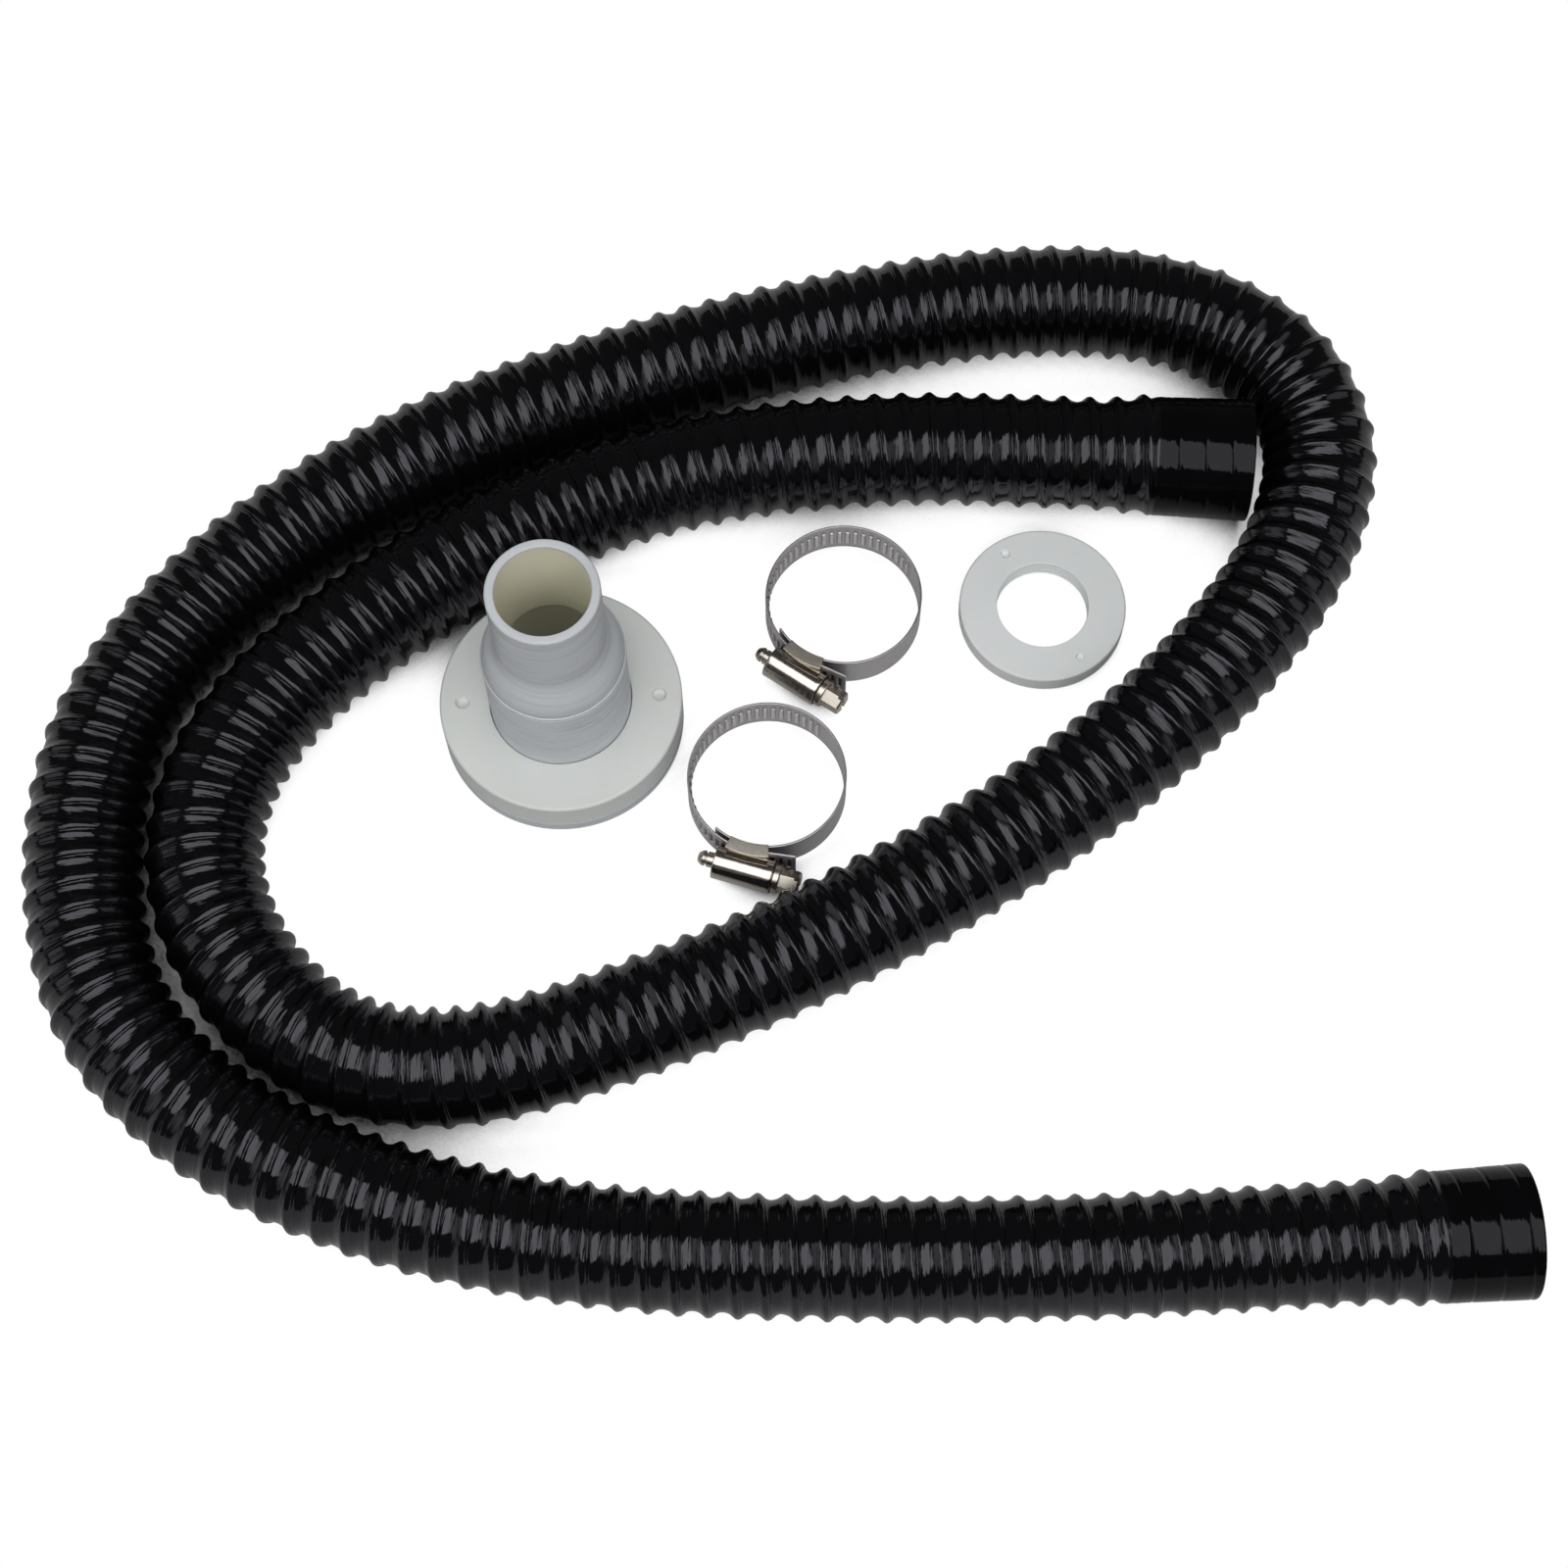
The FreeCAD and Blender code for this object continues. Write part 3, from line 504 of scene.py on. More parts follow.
AROUND = 128
FLANGE_RADIUS = 35.3
FLANGE_THICKNESS = 4.5
SHANK_RADIUS = 20.5
SHANK_BORE = 17.5
THREAD_TOP = 44.3
THREAD_PITCH = 1.5
THREAD_DEPTH = 0.3
THREAD_FULLNESS = 1.3
THREAD_ROWS = 8
THREAD_RUN_OUT = 0.6
STEP_RISE = 0.1
BEAD_TOP = 46.5
BEAD_RADIUS = 20.65
BEAD_GROOVE = 0.7
BEAD_GROOVE_HALF = 0.45
SHOULDER_TOP = 60.5
SHOULDER_STEPS = 16
SHOULDER_INSET = 0.25
BARB_RADIUS = 15.8
BARB_STEP = 0.35
BARB_LIP = 0.12
BARB_LAND = 0.8
BARB_LAND_FALL = 0.02
BARB_UNDERCUT = 0.35
BARB_GROOVE = 0.3
BARB_PITCH = 3.5
BARB_COUNT = 6
BARB_BORE = 13.2
FITTING_HEIGHT = 86.5
BORE_CONE = (40.2, 50.0)
MOUTH_DEPTH = 1.0

NUT_RADIUS = 35.3
NUT_BORE = 20.7
NUT_THICKNESS = 10.5
NUT_DIMPLE = {"across": 4.0, "depth": 1.6, "place": 28.6}
NUT_TURN = 2.5
DIMPLE_DOME = 0.1
DIMPLE_FLARE = 0.3
DIMPLE_AROUND = 32
TOOL_OVERSHOOT = 0.5

RING_RADIUS = 24.8
RING_BORE = 13.65
RING_THICKNESS = 6.2
RING_THREADS = 3
RING_THREAD_DEPTH = 0.35
RING_LEAD_IN = 0.6
RING_PLAIN = 1.0
RING_DIMPLE = {"across": 2.5, "depth": 1.0, "place": 20.0}
RING_TURN = 122.0


def at(mount_name, height=0.0):
    """A mount's axis, as the point at the given height on it."""
    place = mounts[mount_name]["pos_m"]
    return Vector((place[0], place[1], height * MM))


def moved(points, offset):
    return points * MM + np.array(offset)


def make_fitting():
    """Flange, threaded shank, bead, S-shaped shoulder, shallow barb, and a bore that narrows inside it."""
    thread_root = SHANK_RADIUS - THREAD_DEPTH
    notch = (THREAD_TOP + BEAD_TOP) / 2
    upper = [
        (thread_root, THREAD_TOP, 0), (BEAD_RADIUS, THREAD_TOP + STEP_RISE, 0.2),
        (BEAD_RADIUS, notch - BEAD_GROOVE_HALF, 0.2), (BEAD_RADIUS - BEAD_GROOVE, notch, 0.1),
        (BEAD_RADIUS, notch + BEAD_GROOVE_HALF, 0.2), (BEAD_RADIUS, BEAD_TOP, 0.3),
    ]
    barb_core = BARB_RADIUS - BARB_STEP
    shoulder_foot = BEAD_TOP + STEP_RISE
    for step in range(SHOULDER_STEPS + 1):
        share = step / SHOULDER_STEPS
        wide = (1 + math.cos(math.pi * share)) / 2
        radius = SHANK_RADIUS * wide + barb_core * (1 - wide) - SHOULDER_INSET * (1 - share)
        upper.append((radius, shoulder_foot + (SHOULDER_TOP - shoulder_foot) * share, 0))
    for barb in range(BARB_COUNT):
        foot = SHOULDER_TOP + barb * BARB_PITCH
        upper += [
            (BARB_RADIUS, foot + BARB_LIP, 0.06), (BARB_RADIUS - BARB_LAND_FALL, foot + BARB_LAND, 0),
            (barb_core, foot + BARB_PITCH - BARB_UNDERCUT, 0),
            (barb_core - BARB_GROOVE, foot + BARB_PITCH, 0),
        ]
    top_land = SHOULDER_TOP + BARB_COUNT * BARB_PITCH + BARB_LIP
    upper += [
        (BARB_RADIUS, top_land, 0.06), (BARB_RADIUS, FITTING_HEIGHT, 0.8), (BARB_BORE, FITTING_HEIGHT, 0.6),
        (BARB_BORE, FITTING_HEIGHT - MOUTH_DEPTH, 0),
    ]
    bore = [
        (BARB_BORE, FITTING_HEIGHT - MOUTH_DEPTH, 0), (BARB_BORE, BORE_CONE[1], 3.0),
        (SHANK_BORE, BORE_CONE[0], 3.0), (SHANK_BORE, MOUTH_DEPTH, 0),
    ]
    lower = [
        (SHANK_BORE, MOUTH_DEPTH, 0), (SHANK_BORE, 0, 0.5), (FLANGE_RADIUS, 0, 0.5),
        (FLANGE_RADIUS, FLANGE_THICKNESS, 0.6), (thread_root, FLANGE_THICKNESS, 0),
    ]
    surface = Surface()
    offset = at("barb_bore")
    # The bore's faces take the second material: the same plastic, painted warmer and lighter, painted light
    for outline, finish in ((upper, 0), (bore, 1), (lower, 0)):
        surface.grid(moved(turned_grid(rounded(outline, closed=False), AROUND), offset), finish=finish)

    thread_length = THREAD_TOP - FLANGE_THICKNESS

    def radius_at(along, phase, angle):
        kept = smooth_step(np.minimum(along, thread_length - along) / THREAD_RUN_OUT)
        lift = 0.5 + 0.5 * np.cos(2 * math.pi * phase)
        return thread_root + THREAD_DEPTH * kept * smooth_step(lift * THREAD_FULLNESS)

    rows = np.arange(THREAD_ROWS) / THREAD_ROWS
    along, angle, radius = wound_grid(thread_length, THREAD_PITCH, rows, AROUND, radius_at)
    height = along + FLANGE_THICKNESS
    surface.grid(moved(np.stack([radius * np.cos(angle), radius * np.sin(angle), height], axis=2), offset))
    return even_shading(surface.build("tank_fitting"))


def dimple_tool(dimple, turn, top, offset, side):
    """A peg with a domed end and a flared mouth, standing where a spanner hole goes."""
    radius = dimple["across"] / 2
    flared = radius + DIMPLE_FLARE
    bottom = top - dimple["depth"]
    above = top + TOOL_OVERSHOOT
    outline = rounded([
        (0, bottom - DIMPLE_DOME, 0), (radius * 0.75, bottom, 0.4), (radius, bottom + 0.5, 0.3),
        (radius, top - 0.25, 0.2), (flared, top + 0.05, 0), (flared, above, 0), (0, above, 0),
    ], steps=3, closed=False)
    way = math.radians(turn)
    place = Vector((math.cos(way), math.sin(way), 0)) * dimple["place"] * side * MM
    return one_grid("dimple_tool", moved(turned_grid(outline, DIMPLE_AROUND), offset + place))


def make_nut(name, outline, dimple, turn, top, offset):
    """A ring turned from its outline, with two spanner holes across from each other in its top."""
    nut = one_grid(name, moved(turned_grid(rounded(outline), AROUND), offset))
    tools = [dimple_tool(dimple, turn, top, offset, side) for side in (1, -1)]
    return even_shading(cut_away(nut, tools))


def make_lock_nut():
    """The large round nut on the shank, down on the flange."""
    low = FLANGE_THICKNESS
    top = low + NUT_THICKNESS
    outline = [(NUT_BORE, low, 0.3), (NUT_RADIUS, low, 0.6), (NUT_RADIUS, top, 0.9), (NUT_BORE, top, 0.35)]
    return make_nut("lock_nut_white", outline, NUT_DIMPLE, NUT_TURN, top, at("barb_bore"))


def make_ring_nut():
    """The loose ring, with its bore's thread drawn as plain grooves."""
    outline = [
        (RING_BORE, 0, 0.3), (RING_RADIUS, 0, 0.5), (RING_RADIUS, RING_THICKNESS, 0.7),
        (RING_BORE, RING_THICKNESS, 0.35),
    ]
    thread = (RING_THICKNESS - RING_PLAIN) / RING_THREADS
    root = RING_BORE + RING_THREAD_DEPTH
    for turn in range(RING_THREADS):
        foot = RING_THICKNESS - RING_LEAD_IN - turn * thread
        outline += [
            (RING_BORE, foot, 0.08), (root, foot - thread * 0.35, 0.08), (root, foot - thread * 0.6, 0.08),
            (RING_BORE, foot - thread * 0.95, 0.08),
        ]
    return make_nut("ring_nut_white", outline, RING_DIMPLE, RING_TURN, RING_THICKNESS, at("ring_bore"))


# Hose clamps, each made about its loop's centre with the screw along X on the -Y side

LOOP_RADIUS = 22.0
BAND_THICKNESS = 0.6
BAND_WIDTH = 12.7
BAND_FLOOR = 0.8
CLAMP_HEIGHT = 14.3
LAYER_GAP = 0.06
SADDLE_SHEET = 0.7
LINER_START = 244.0
WRAP_START = 100.0
WRAP_SWEEP = 178.0
TAIL_LENGTH = 11.5
BAND_STEP = 1.2
BAND_END_CLEAR = 1.0
BAND_EDGE = 0.12
BAND_EDGE_ROUNDING = 0.1
BAND_END_ROW = 0.15
# Worm threads pressed into the band, from an angle on its liner to its tail
THREAD_START = 62.0
THREAD_STEP = 2.4
THREAD_PRESS = 0.55
THREAD_HALF = 3.15
THREAD_REACH = 0.8
THREAD_FLANK = 0.32
THREAD_FLANK_ROWS = (0, 0.25, 0.625, 1)
THREAD_CLEAR = 0.9
THREAD_LAST = 1.5
THREAD_END_REACH = 0.2
THREAD_END_FLANK = 0.35
THREAD_LINE_UP = 0.3
# The finishes of the threads' raised bars, a painted highlight, and of their grooves, a painted shade
THREAD_PAINTED_HIGHLIGHT = 1
THREAD_PAINTED_SHADE = 2
# The band's inner face is plain from this far before its tail, where the outer layer hides it
PLAIN_FROM_TAIL = 16
PLAIN_FADE = 2
SCREW_SIDE = 270
HOUSING_MIDDLE = 272.2
HOUSING_ENDS = (-7.8, 9.6)
HOUSING_SHEET = 0.8
HOUSING_OUTSIDE = 5.0
HOUSING_GAP = 0.15
HOUSING_RIM = 0.3
HOUSING_STEP = 0.8
HOUSING_COLUMNS = 49
FOOT_INSET = 0.15
EAR_HALF_SWEEP = 14.5
EAR_EDGE = 25.8
PLATE_COLUMNS = 13
SCREW_SHIFT = 0.9
WORM_RADIUS = 3.4

OPENING_ARC = math.radians(LINER_START - WRAP_START)
WRAP_GROWTH = (BAND_THICKNESS + SADDLE_SHEET + 2 * LAYER_GAP) / (1 - math.cos(OPENING_ARC))
LINER_LENGTH = LOOP_RADIUS * math.radians(360 + WRAP_START - LINER_START)
WRAP_LENGTH = (LOOP_RADIUS + WRAP_GROWTH) * math.radians(WRAP_SWEEP)
BAND_LENGTH = LINER_LENGTH + WRAP_LENGTH + TAIL_LENGTH


def wrap_outside(angle):
    """Radius of the outer layer's outer face at an angle about the loop's centre."""
    turned = math.radians(angle - WRAP_START)
    arc = LOOP_RADIUS + BAND_THICKNESS + WRAP_GROWTH
    return math.sqrt(arc ** 2 - (WRAP_GROWTH * math.sin(turned)) ** 2) - WRAP_GROWTH * math.cos(turned)


HOUSING_SEAT = wrap_outside(SCREW_SIDE) + HOUSING_GAP
SCREW_OFFSET = HOUSING_SEAT + WORM_RADIUS


def clamp_place(clamp):
    """Where a clamp lies: its loop's centre, and its screw's direction."""
    axis = joints[clamp + "_screw_turn"]["axis"]
    return Matrix.Translation(at(clamp + "_loop")) @ Matrix.Rotation(math.atan2(axis[1], axis[0]), 4, "Z")


def laid(points, place):
    """Points in a clamp's own millimetres, as scene points."""
    turned = points @ np.array(place.to_3x3()).T
    return turned * MM + np.array(place.translation)


def band_line(distance):
    """Inner face and outward direction of the band at a distance along it from its inner end."""
    liner_angle = np.radians(LINER_START) + distance / LOOP_RADIUS
    arc = LOOP_RADIUS + WRAP_GROWTH
    wrap_angle = np.radians(WRAP_START) + (distance - LINER_LENGTH) / arc
    end_angle = math.radians(WRAP_START + WRAP_SWEEP)
    past = np.maximum(distance - LINER_LENGTH - WRAP_LENGTH, 0)
    angle = np.where(distance < LINER_LENGTH, liner_angle, np.minimum(wrap_angle, end_angle))
    outward = np.stack([np.cos(angle), np.sin(angle)], axis=-1)
    start = math.radians(WRAP_START)
    centre = -WRAP_GROWTH * np.array((math.cos(start), math.sin(start)))
    on_liner = (distance < LINER_LENGTH)[..., None]
    point = np.where(on_liner, outward * LOOP_RADIUS, centre + outward * arc)
    tail = np.array((-math.sin(end_angle), math.cos(end_angle)))
    return point + past[..., None] * tail, outward


def make_band(clamp, place):
    """One strip of sheet with worm threads pressed into it, so that they stand proud on its inner face."""
    thread_first = LOOP_RADIUS * math.radians(360 + THREAD_START - LINER_START)
    turned = math.radians(HOUSING_MIDDLE - THREAD_LINE_UP - WRAP_START)
    housing_at = LINER_LENGTH + (LOOP_RADIUS + WRAP_GROWTH) * turned
    first = housing_at - THREAD_STEP * int((housing_at - thread_first) / THREAD_STEP)
    threads = np.arange(first, BAND_LENGTH - THREAD_LAST, THREAD_STEP)
    flank = THREAD_REACH - THREAD_FLANK * np.array(THREAD_FLANK_ROWS)
    flanks = np.concatenate([-flank, flank])
    plain = np.arange(BAND_END_CLEAR, BAND_LENGTH - BAND_END_CLEAR, BAND_STEP)
    plain = plain[np.abs(plain[:, None] - threads).min(axis=1) > THREAD_CLEAR]
    ends = [0, BAND_END_ROW, BAND_LENGTH - BAND_END_ROW, BAND_LENGTH]
    rows = np.unique(np.round(np.concatenate([(threads[:, None] + flanks).ravel(), plain, ends]), 3))
    nearest = np.abs(rows[:, None] - threads).min(axis=1)
    pressed_along = smooth_step((THREAD_REACH - nearest) / THREAD_FLANK)
    plain_inside = smooth_step((rows - (LINER_LENGTH + WRAP_LENGTH - PLAIN_FROM_TAIL)) / PLAIN_FADE)

    middle = BAND_FLOOR + BAND_WIDTH / 2
    thread_end = BAND_WIDTH / 2 - THREAD_HALF
    heights = [0, BAND_EDGE / 2, BAND_EDGE, 1.6]
    heights += [thread_end + step for step in (-0.2, -0.08, 0.04, 0.15)] + [BAND_WIDTH / 2 - 1]
    heights = np.array(heights + [BAND_WIDTH / 2] + [BAND_WIDTH - height for height in reversed(heights)])
    height = heights + BAND_FLOOR
    past_thread = THREAD_HALF + THREAD_END_REACH - np.abs(height - middle)
    pressed_across = smooth_step(past_thread / THREAD_END_FLANK)
    from_edge = np.minimum(heights, BAND_WIDTH - heights)
    rounding = BAND_EDGE_ROUNDING * np.clip(1 - from_edge / BAND_EDGE, 0, 1) ** 2

    point, outward = band_line(rows)
    press = THREAD_PRESS * pressed_along[:, None] * pressed_across[None, :]
    inner_offset = -press * (1 - plain_inside[:, None]) + rounding[None, :]
    outer_offset = BAND_THICKNESS - press - rounding[None, :]

    def face(offset):
        level = point[:, None, :] + outward[:, None, :] * offset[:, :, None]
        return np.concatenate([level, np.broadcast_to(height[None, :, None], offset.shape + (1,))], axis=2)

    inner = face(inner_offset)
    outer = face(outer_offset)
    loop = np.concatenate([inner, outer[:, ::-1], inner[:, :1]], axis=1)
    along = np.broadcast_to(rows[:, None], loop.shape[:2])
    wall = np.stack([along * MM, loop[:, :, 2] * MM], axis=2)
    # Raised bars inside take the lighter steel, painted highlight; grooves outside the dark one, painted
    # shade
    flat = press > 0.9 * THREAD_PRESS
    flat = flat[:-1, :-1] & flat[1:, :-1] & flat[1:, 1:] & flat[:-1, 1:]
    span = flat.shape[1]
    finish = np.zeros((loop.shape[0] - 1, loop.shape[1] - 1), dtype=int)
    finish[:, :span] = flat * THREAD_PAINTED_HIGHLIGHT
    finish[:, span + 1:2 * span + 1] = flat[:, ::-1] * THREAD_PAINTED_SHADE
    surface = Surface()
    surface.grid(laid(loop, place), wall, finish)
    for end in (0, -1):
        surface.grid(laid(np.stack([inner[end], outer[end]]), place))
    return surface.build(clamp + "_strip", SHEET_SHARP_DEGREES)


def softened(thing, width, degrees=SHARP_DEGREES):
    """Rounds the edges that turn by more than the given angle."""
    modifier = thing.modifiers.new("edges", "BEVEL")
    modifier.width = width * MM
    modifier.segments = 2
    modifier.limit_method = "ANGLE"
    modifier.angle_limit = math.radians(degrees)
    baked(thing)
    thing.data.set_sharp_from_angle(angle=math.radians(SHEET_SHARP_DEGREES))
    return even_shading(thing)


def bent_plates(name, place, plates):
    """Solid plates bent round the loop, centred on the housing, each as (inner, outer, low, high)."""
    surface = Surface()
    turned = np.linspace(-EAR_HALF_SWEEP, EAR_HALF_SWEEP, PLATE_COLUMNS)
    angle = np.radians(HOUSING_MIDDLE + turned)[:, None]
    for inner, outer, low, high in plates:
        section = [(inner, low), (outer, low), (outer, high), (inner, high), (inner, low)]
        radius, height = np.array(section, dtype=float).T
        sweep = np.stack([radius * np.cos(angle), radius * np.sin(angle), height + 0 * angle], axis=2)
        surface.grid(laid(sweep, place))
        for row in (sweep[0], sweep[-1]):
            surface.grid(laid(np.stack([row[:2], row[[3, 2]]]), place))
    return surface.build(name)


def make_saddle(clamp, place):
    """Curved plate with an ear folded over each edge of the band, standing on the floor."""
    inside = LOOP_RADIUS + BAND_THICKNESS + LAYER_GAP
    ear = CLAMP_HEIGHT - SADDLE_SHEET
    saddle = bent_plates(clamp + "_saddle_sheet", place, [
        (inside, inside + SADDLE_SHEET, SADDLE_SHEET, ear), (LOOP_RADIUS, EAR_EDGE, 0, SADDLE_SHEET),
        (LOOP_RADIUS, EAR_EDGE, ear, CLAMP_HEIGHT),
    ])
    return softened(saddle, width=0.18)


def make_housing(clamp, place):
    """Rolled sheet over the worm, cut along the band's curve, on two curved feet."""
    radii = (HOUSING_OUTSIDE - HOUSING_SHEET, HOUSING_OUTSIDE)
    low, high = HOUSING_ENDS
    corners = [(low, radii[0]), (high, radii[0]), (high, radii[1]), (low, radii[1])]
    section = np.array(rounded([corner + (HOUSING_RIM,) for corner in corners], steps=3))
    dense = []
    for first, second in zip(section, section[1:]):
        steps = max(1, int(np.linalg.norm(second - first) / HOUSING_STEP))
        dense += [first + (second - first) * step / steps for step in range(steps)]
    dense = np.array(dense + [section[-1]])
    along, radius = dense[:, 0], dense[:, 1]
    reach = np.sqrt(HOUSING_SEAT ** 2 - along ** 2)
    open_half = np.arccos(np.clip((SCREW_OFFSET - reach) / radius, -1, 1))
    share = np.linspace(0, 1, HOUSING_COLUMNS)
    angle = open_half[:, None] + share[None, :] * (2 * math.pi - 2 * open_half[:, None])
    depth = -SCREW_OFFSET + radius[:, None] * np.cos(angle)
    height = CLAMP_HEIGHT / 2 + radius[:, None] * np.sin(angle)
    grid = np.stack([np.broadcast_to(along[:, None], angle.shape), depth, height], axis=2)
    surface = Surface()
    surface.grid(laid(grid, place))
    half = len(dense) // 2
    count = min(half, len(dense) - half)
    for column in (0, -1):
        lower = grid[:count, column]
        upper = grid[::-1, column][:count]
        surface.grid(laid(np.stack([lower, upper]), place))
    shell = surface.build(clamp + "_housing_sheet", SHEET_SHARP_DEGREES)

    low, high = BAND_FLOOR + FOOT_INSET, BAND_FLOOR + BAND_WIDTH - FOOT_INSET
    foot = (HOUSING_SEAT, HOUSING_SEAT + HOUSING_SHEET, low, high)
    return shell, softened(bent_plates(clamp + "_housing_feet", place, [foot]), width=0.2)


SCREW_AROUND = 48
NOSE_RADIUS = 2.25
NOSE_TIP = 1.3
NOSE_LENGTH = 5.0
NOSE_DOME = 3.6
# Where the nose's groove ends, leaves its floor, reaches it and starts, from the worm, and how deep it is
NOSE_GROOVE = (2.85, 2.75, 2.25, 2.15)
NOSE_GROOVE_DEPTH = 0.5
WORM_CREST = 0.4
WORM_CREST_HALF = 0.15
WORM_FOOT_HALF = 0.3
WORM_END = 0.6
COLLAR_GAP = 0.2
COLLAR_RADIUS = 4.4
COLLAR_THICKNESS = 2.0
HEAD_FLATS = 6.35
HEAD_LENGTH = 5.8
HEAD_CHAMFER = 0.5
HEAD_OVERLAP = 0.1
SLOT_WIDTH = 1.2
SLOT_DEPTH = 1.6


def screw_place(place):
    """Stands a shape that is drawn upright along the screw's axis."""
    middle = Matrix.Translation((SCREW_SHIFT * MM, -SCREW_OFFSET * MM, CLAMP_HEIGHT / 2 * MM))
    return place @ middle @ Matrix.Rotation(math.pi / 2, 4, "Y")


def make_screw(clamp, place):
    """Domed nose with a groove, worm, collar, and a slotted hexagon head."""
    half = (HOUSING_ENDS[1] - HOUSING_ENDS[0]) / 2
    collar = half + COLLAR_GAP
    washer = collar + COLLAR_THICKNESS
    outline = [
        (0, -half - NOSE_LENGTH, 0), (NOSE_TIP, -half - NOSE_LENGTH + 0.05, 0.9),
        (NOSE_RADIUS, -half - NOSE_DOME, 1.4),
    ]
    for reach, depth in zip(NOSE_GROOVE, (0, NOSE_GROOVE_DEPTH, NOSE_GROOVE_DEPTH, 0)):
        outline.append((NOSE_RADIUS - depth, -half - reach, 0.1))
    outline += [(NOSE_RADIUS, -half, 0.1), (WORM_RADIUS, -half, 0.2)]
    count = int((half - WORM_END) / THREAD_STEP)
    crest = WORM_RADIUS + WORM_CREST
    for turn in range(-count, count + 1):
        middle = turn * THREAD_STEP
        outline += [
            (WORM_RADIUS, middle - WORM_FOOT_HALF, 0.05), (crest, middle - WORM_CREST_HALF, 0.05),
            (crest, middle + WORM_CREST_HALF, 0.05), (WORM_RADIUS, middle + WORM_FOOT_HALF, 0.05),
        ]
    outline += [
        (WORM_RADIUS, collar, 0), (COLLAR_RADIUS, collar, 0.3), (COLLAR_RADIUS, washer, 0.45),
        (0, washer, 0),
    ]
    stand = screw_place(place)
    shank = laid(turned_grid(rounded(outline, steps=4, closed=False), SCREW_AROUND), stand)
    shank = one_grid(clamp + "_screw_shank", shank, SHEET_SHARP_DEGREES)

    corner = HEAD_FLATS / 2 / math.cos(math.pi / 6)
    foot, top = washer - HEAD_OVERLAP, washer + HEAD_LENGTH
    rows = [(0, foot), (corner, foot), (corner, top - HEAD_CHAMFER), (corner - HEAD_CHAMFER, top), (0, top)]
    head = one_grid(clamp + "_screw_head", laid(turned_grid(rows, 6), stand))
    slot = Surface()
    end, side = HEAD_FLATS, SLOT_WIDTH / 2
    ring = [(-end, -side), (end, -side), (end, side), (-end, side), (-end, -side)]
    levels = (top - SLOT_DEPTH, top + 2 * TOOL_OVERSHOOT)
    walls = np.array([[(across, over, level) for across, over in ring] for level in levels])
    slot.grid(laid(walls, stand))
    for level in walls:
        slot.grid(laid(np.stack([level[:2], level[[3, 2]]]), stand))
    cut_away(head, [slot.build("slot_tool")])
    softened(head, width=0.14, degrees=25)
    return even_shading(shank), head


# Materials

# A colour Mix node's sockets by number, because their names repeat
MIX_SHARE, MIX_LOW, MIX_HIGH, MIX_RESULT = 0, 6, 7, 2
MIRRORED_SHARE = 0.12
WORLD_LIGHT = 0.05
FLOOR_REACH = 4000
FLOOR_DROP = 0.2
# How far the floor looks for what stands over it, the openness over which its paper's colour goes from a
# painted shadow, near black, to its own grey, and that between which the camera starts to see it as plain
# white
GAP_REACH = 30
PAINTED_SHADOW_OPENNESS = (0.12, 0.5)
WHITE_OPENNESS = (0.1, 0.38)


def linear(colour):
    """A hex sRGB colour as linear values."""
    values = [int(colour[index:index + 2], 16) / 255 for index in (1, 3, 5)]
    return tuple(v / 12.92 if v <= 0.04045 else ((v + 0.055) / 1.055) ** 2.4 for v in values) + (1.0,)


def add(tree, kind, inputs=(), **settings):
    """Adds a node. inputs gives each socket a value or the output that feeds it."""
    node = tree.nodes.new("ShaderNode" + kind)
    for name, value in settings.items():
        setattr(node, name, value)
    for socket, value in dict(inputs).items():
        if isinstance(value, bpy.types.NodeSocket):
            tree.links.new(value, node.inputs[socket])
        else:
            node.inputs[socket].default_value = value
    return node


def new_material(name):
    """A material with an empty tree, for its maker to fill."""
    material = bpy.data.materials.new(name)
    material.use_nodes = True
    tree = material.node_tree
    tree.nodes.clear()
    return material, tree


def shaded(material, tree, **inputs):
    """Ends a material with one surface shader. Underscores in the socket names stand for spaces."""
    sockets = {name.replace("_", " "): value for name, value in inputs.items()}
    surface = add(tree, "BsdfPrincipled", sockets)
    add(tree, "OutputMaterial", {"Surface": surface.outputs["BSDF"]})
    return material


def blotches(tree, place, sizes, detail, roughness=0.5):
    """A noise pattern whose marks are about as long along each axis as the sizes say, in millimetres."""
    scale = [1 / (size * MM) for size in sizes]
    scaled = add(tree, "Mapping", {"Vector": place, "Scale": scale}).outputs["Vector"]
    return add(tree, "TexNoise", {
        "Vector": scaled, "Scale": 1.0, "Detail": detail, "Roughness": roughness,
    }).outputs["Fac"]


def toned(tree, pattern, colours, roughness):
    """A surface shader's colour and roughness, which both follow one pattern."""
    shade = add(tree, "Mix", {
        MIX_SHARE: pattern, MIX_LOW: linear(colours[0]), MIX_HIGH: linear(colours[1]),
    }, data_type="RGBA")
    rough = add(tree, "MapRange", {"Value": pattern, "To Min": roughness[0], "To Max": roughness[1]})
    return {"Base_Color": shade.outputs[MIX_RESULT], "Roughness": rough.outputs["Result"]}


def wound_vinyl(name, crease_height, gloss):
    """Extruded flexible vinyl, wound and welded hot: near-black and wet-looking, with fine creases that run
    round the hose and break each reflection into short bright strokes."""
    material, tree = new_material(name)
    wall = add(tree, "UVMap", uv_map=WALL_MAP).outputs["UV"]
    crease = blotches(tree, wall, (1.1, 20, 1000), detail=3)
    patch = blotches(tree, wall, (9, 9 / 0.7, 1000), detail=2)
    bump = add(tree, "Bump", {"Height": crease, "Distance": crease_height * MM, "Strength": 1.0})
    return shaded(material, tree, **toned(tree, patch, ("#050506", "#0B0B0D"), (0.03, 0.11)),
                  IOR=1.53, Specular_IOR_Level=gloss, Specular_Tint=linear("#F6F3FF"),
                  Normal=bump.outputs["Normal"])


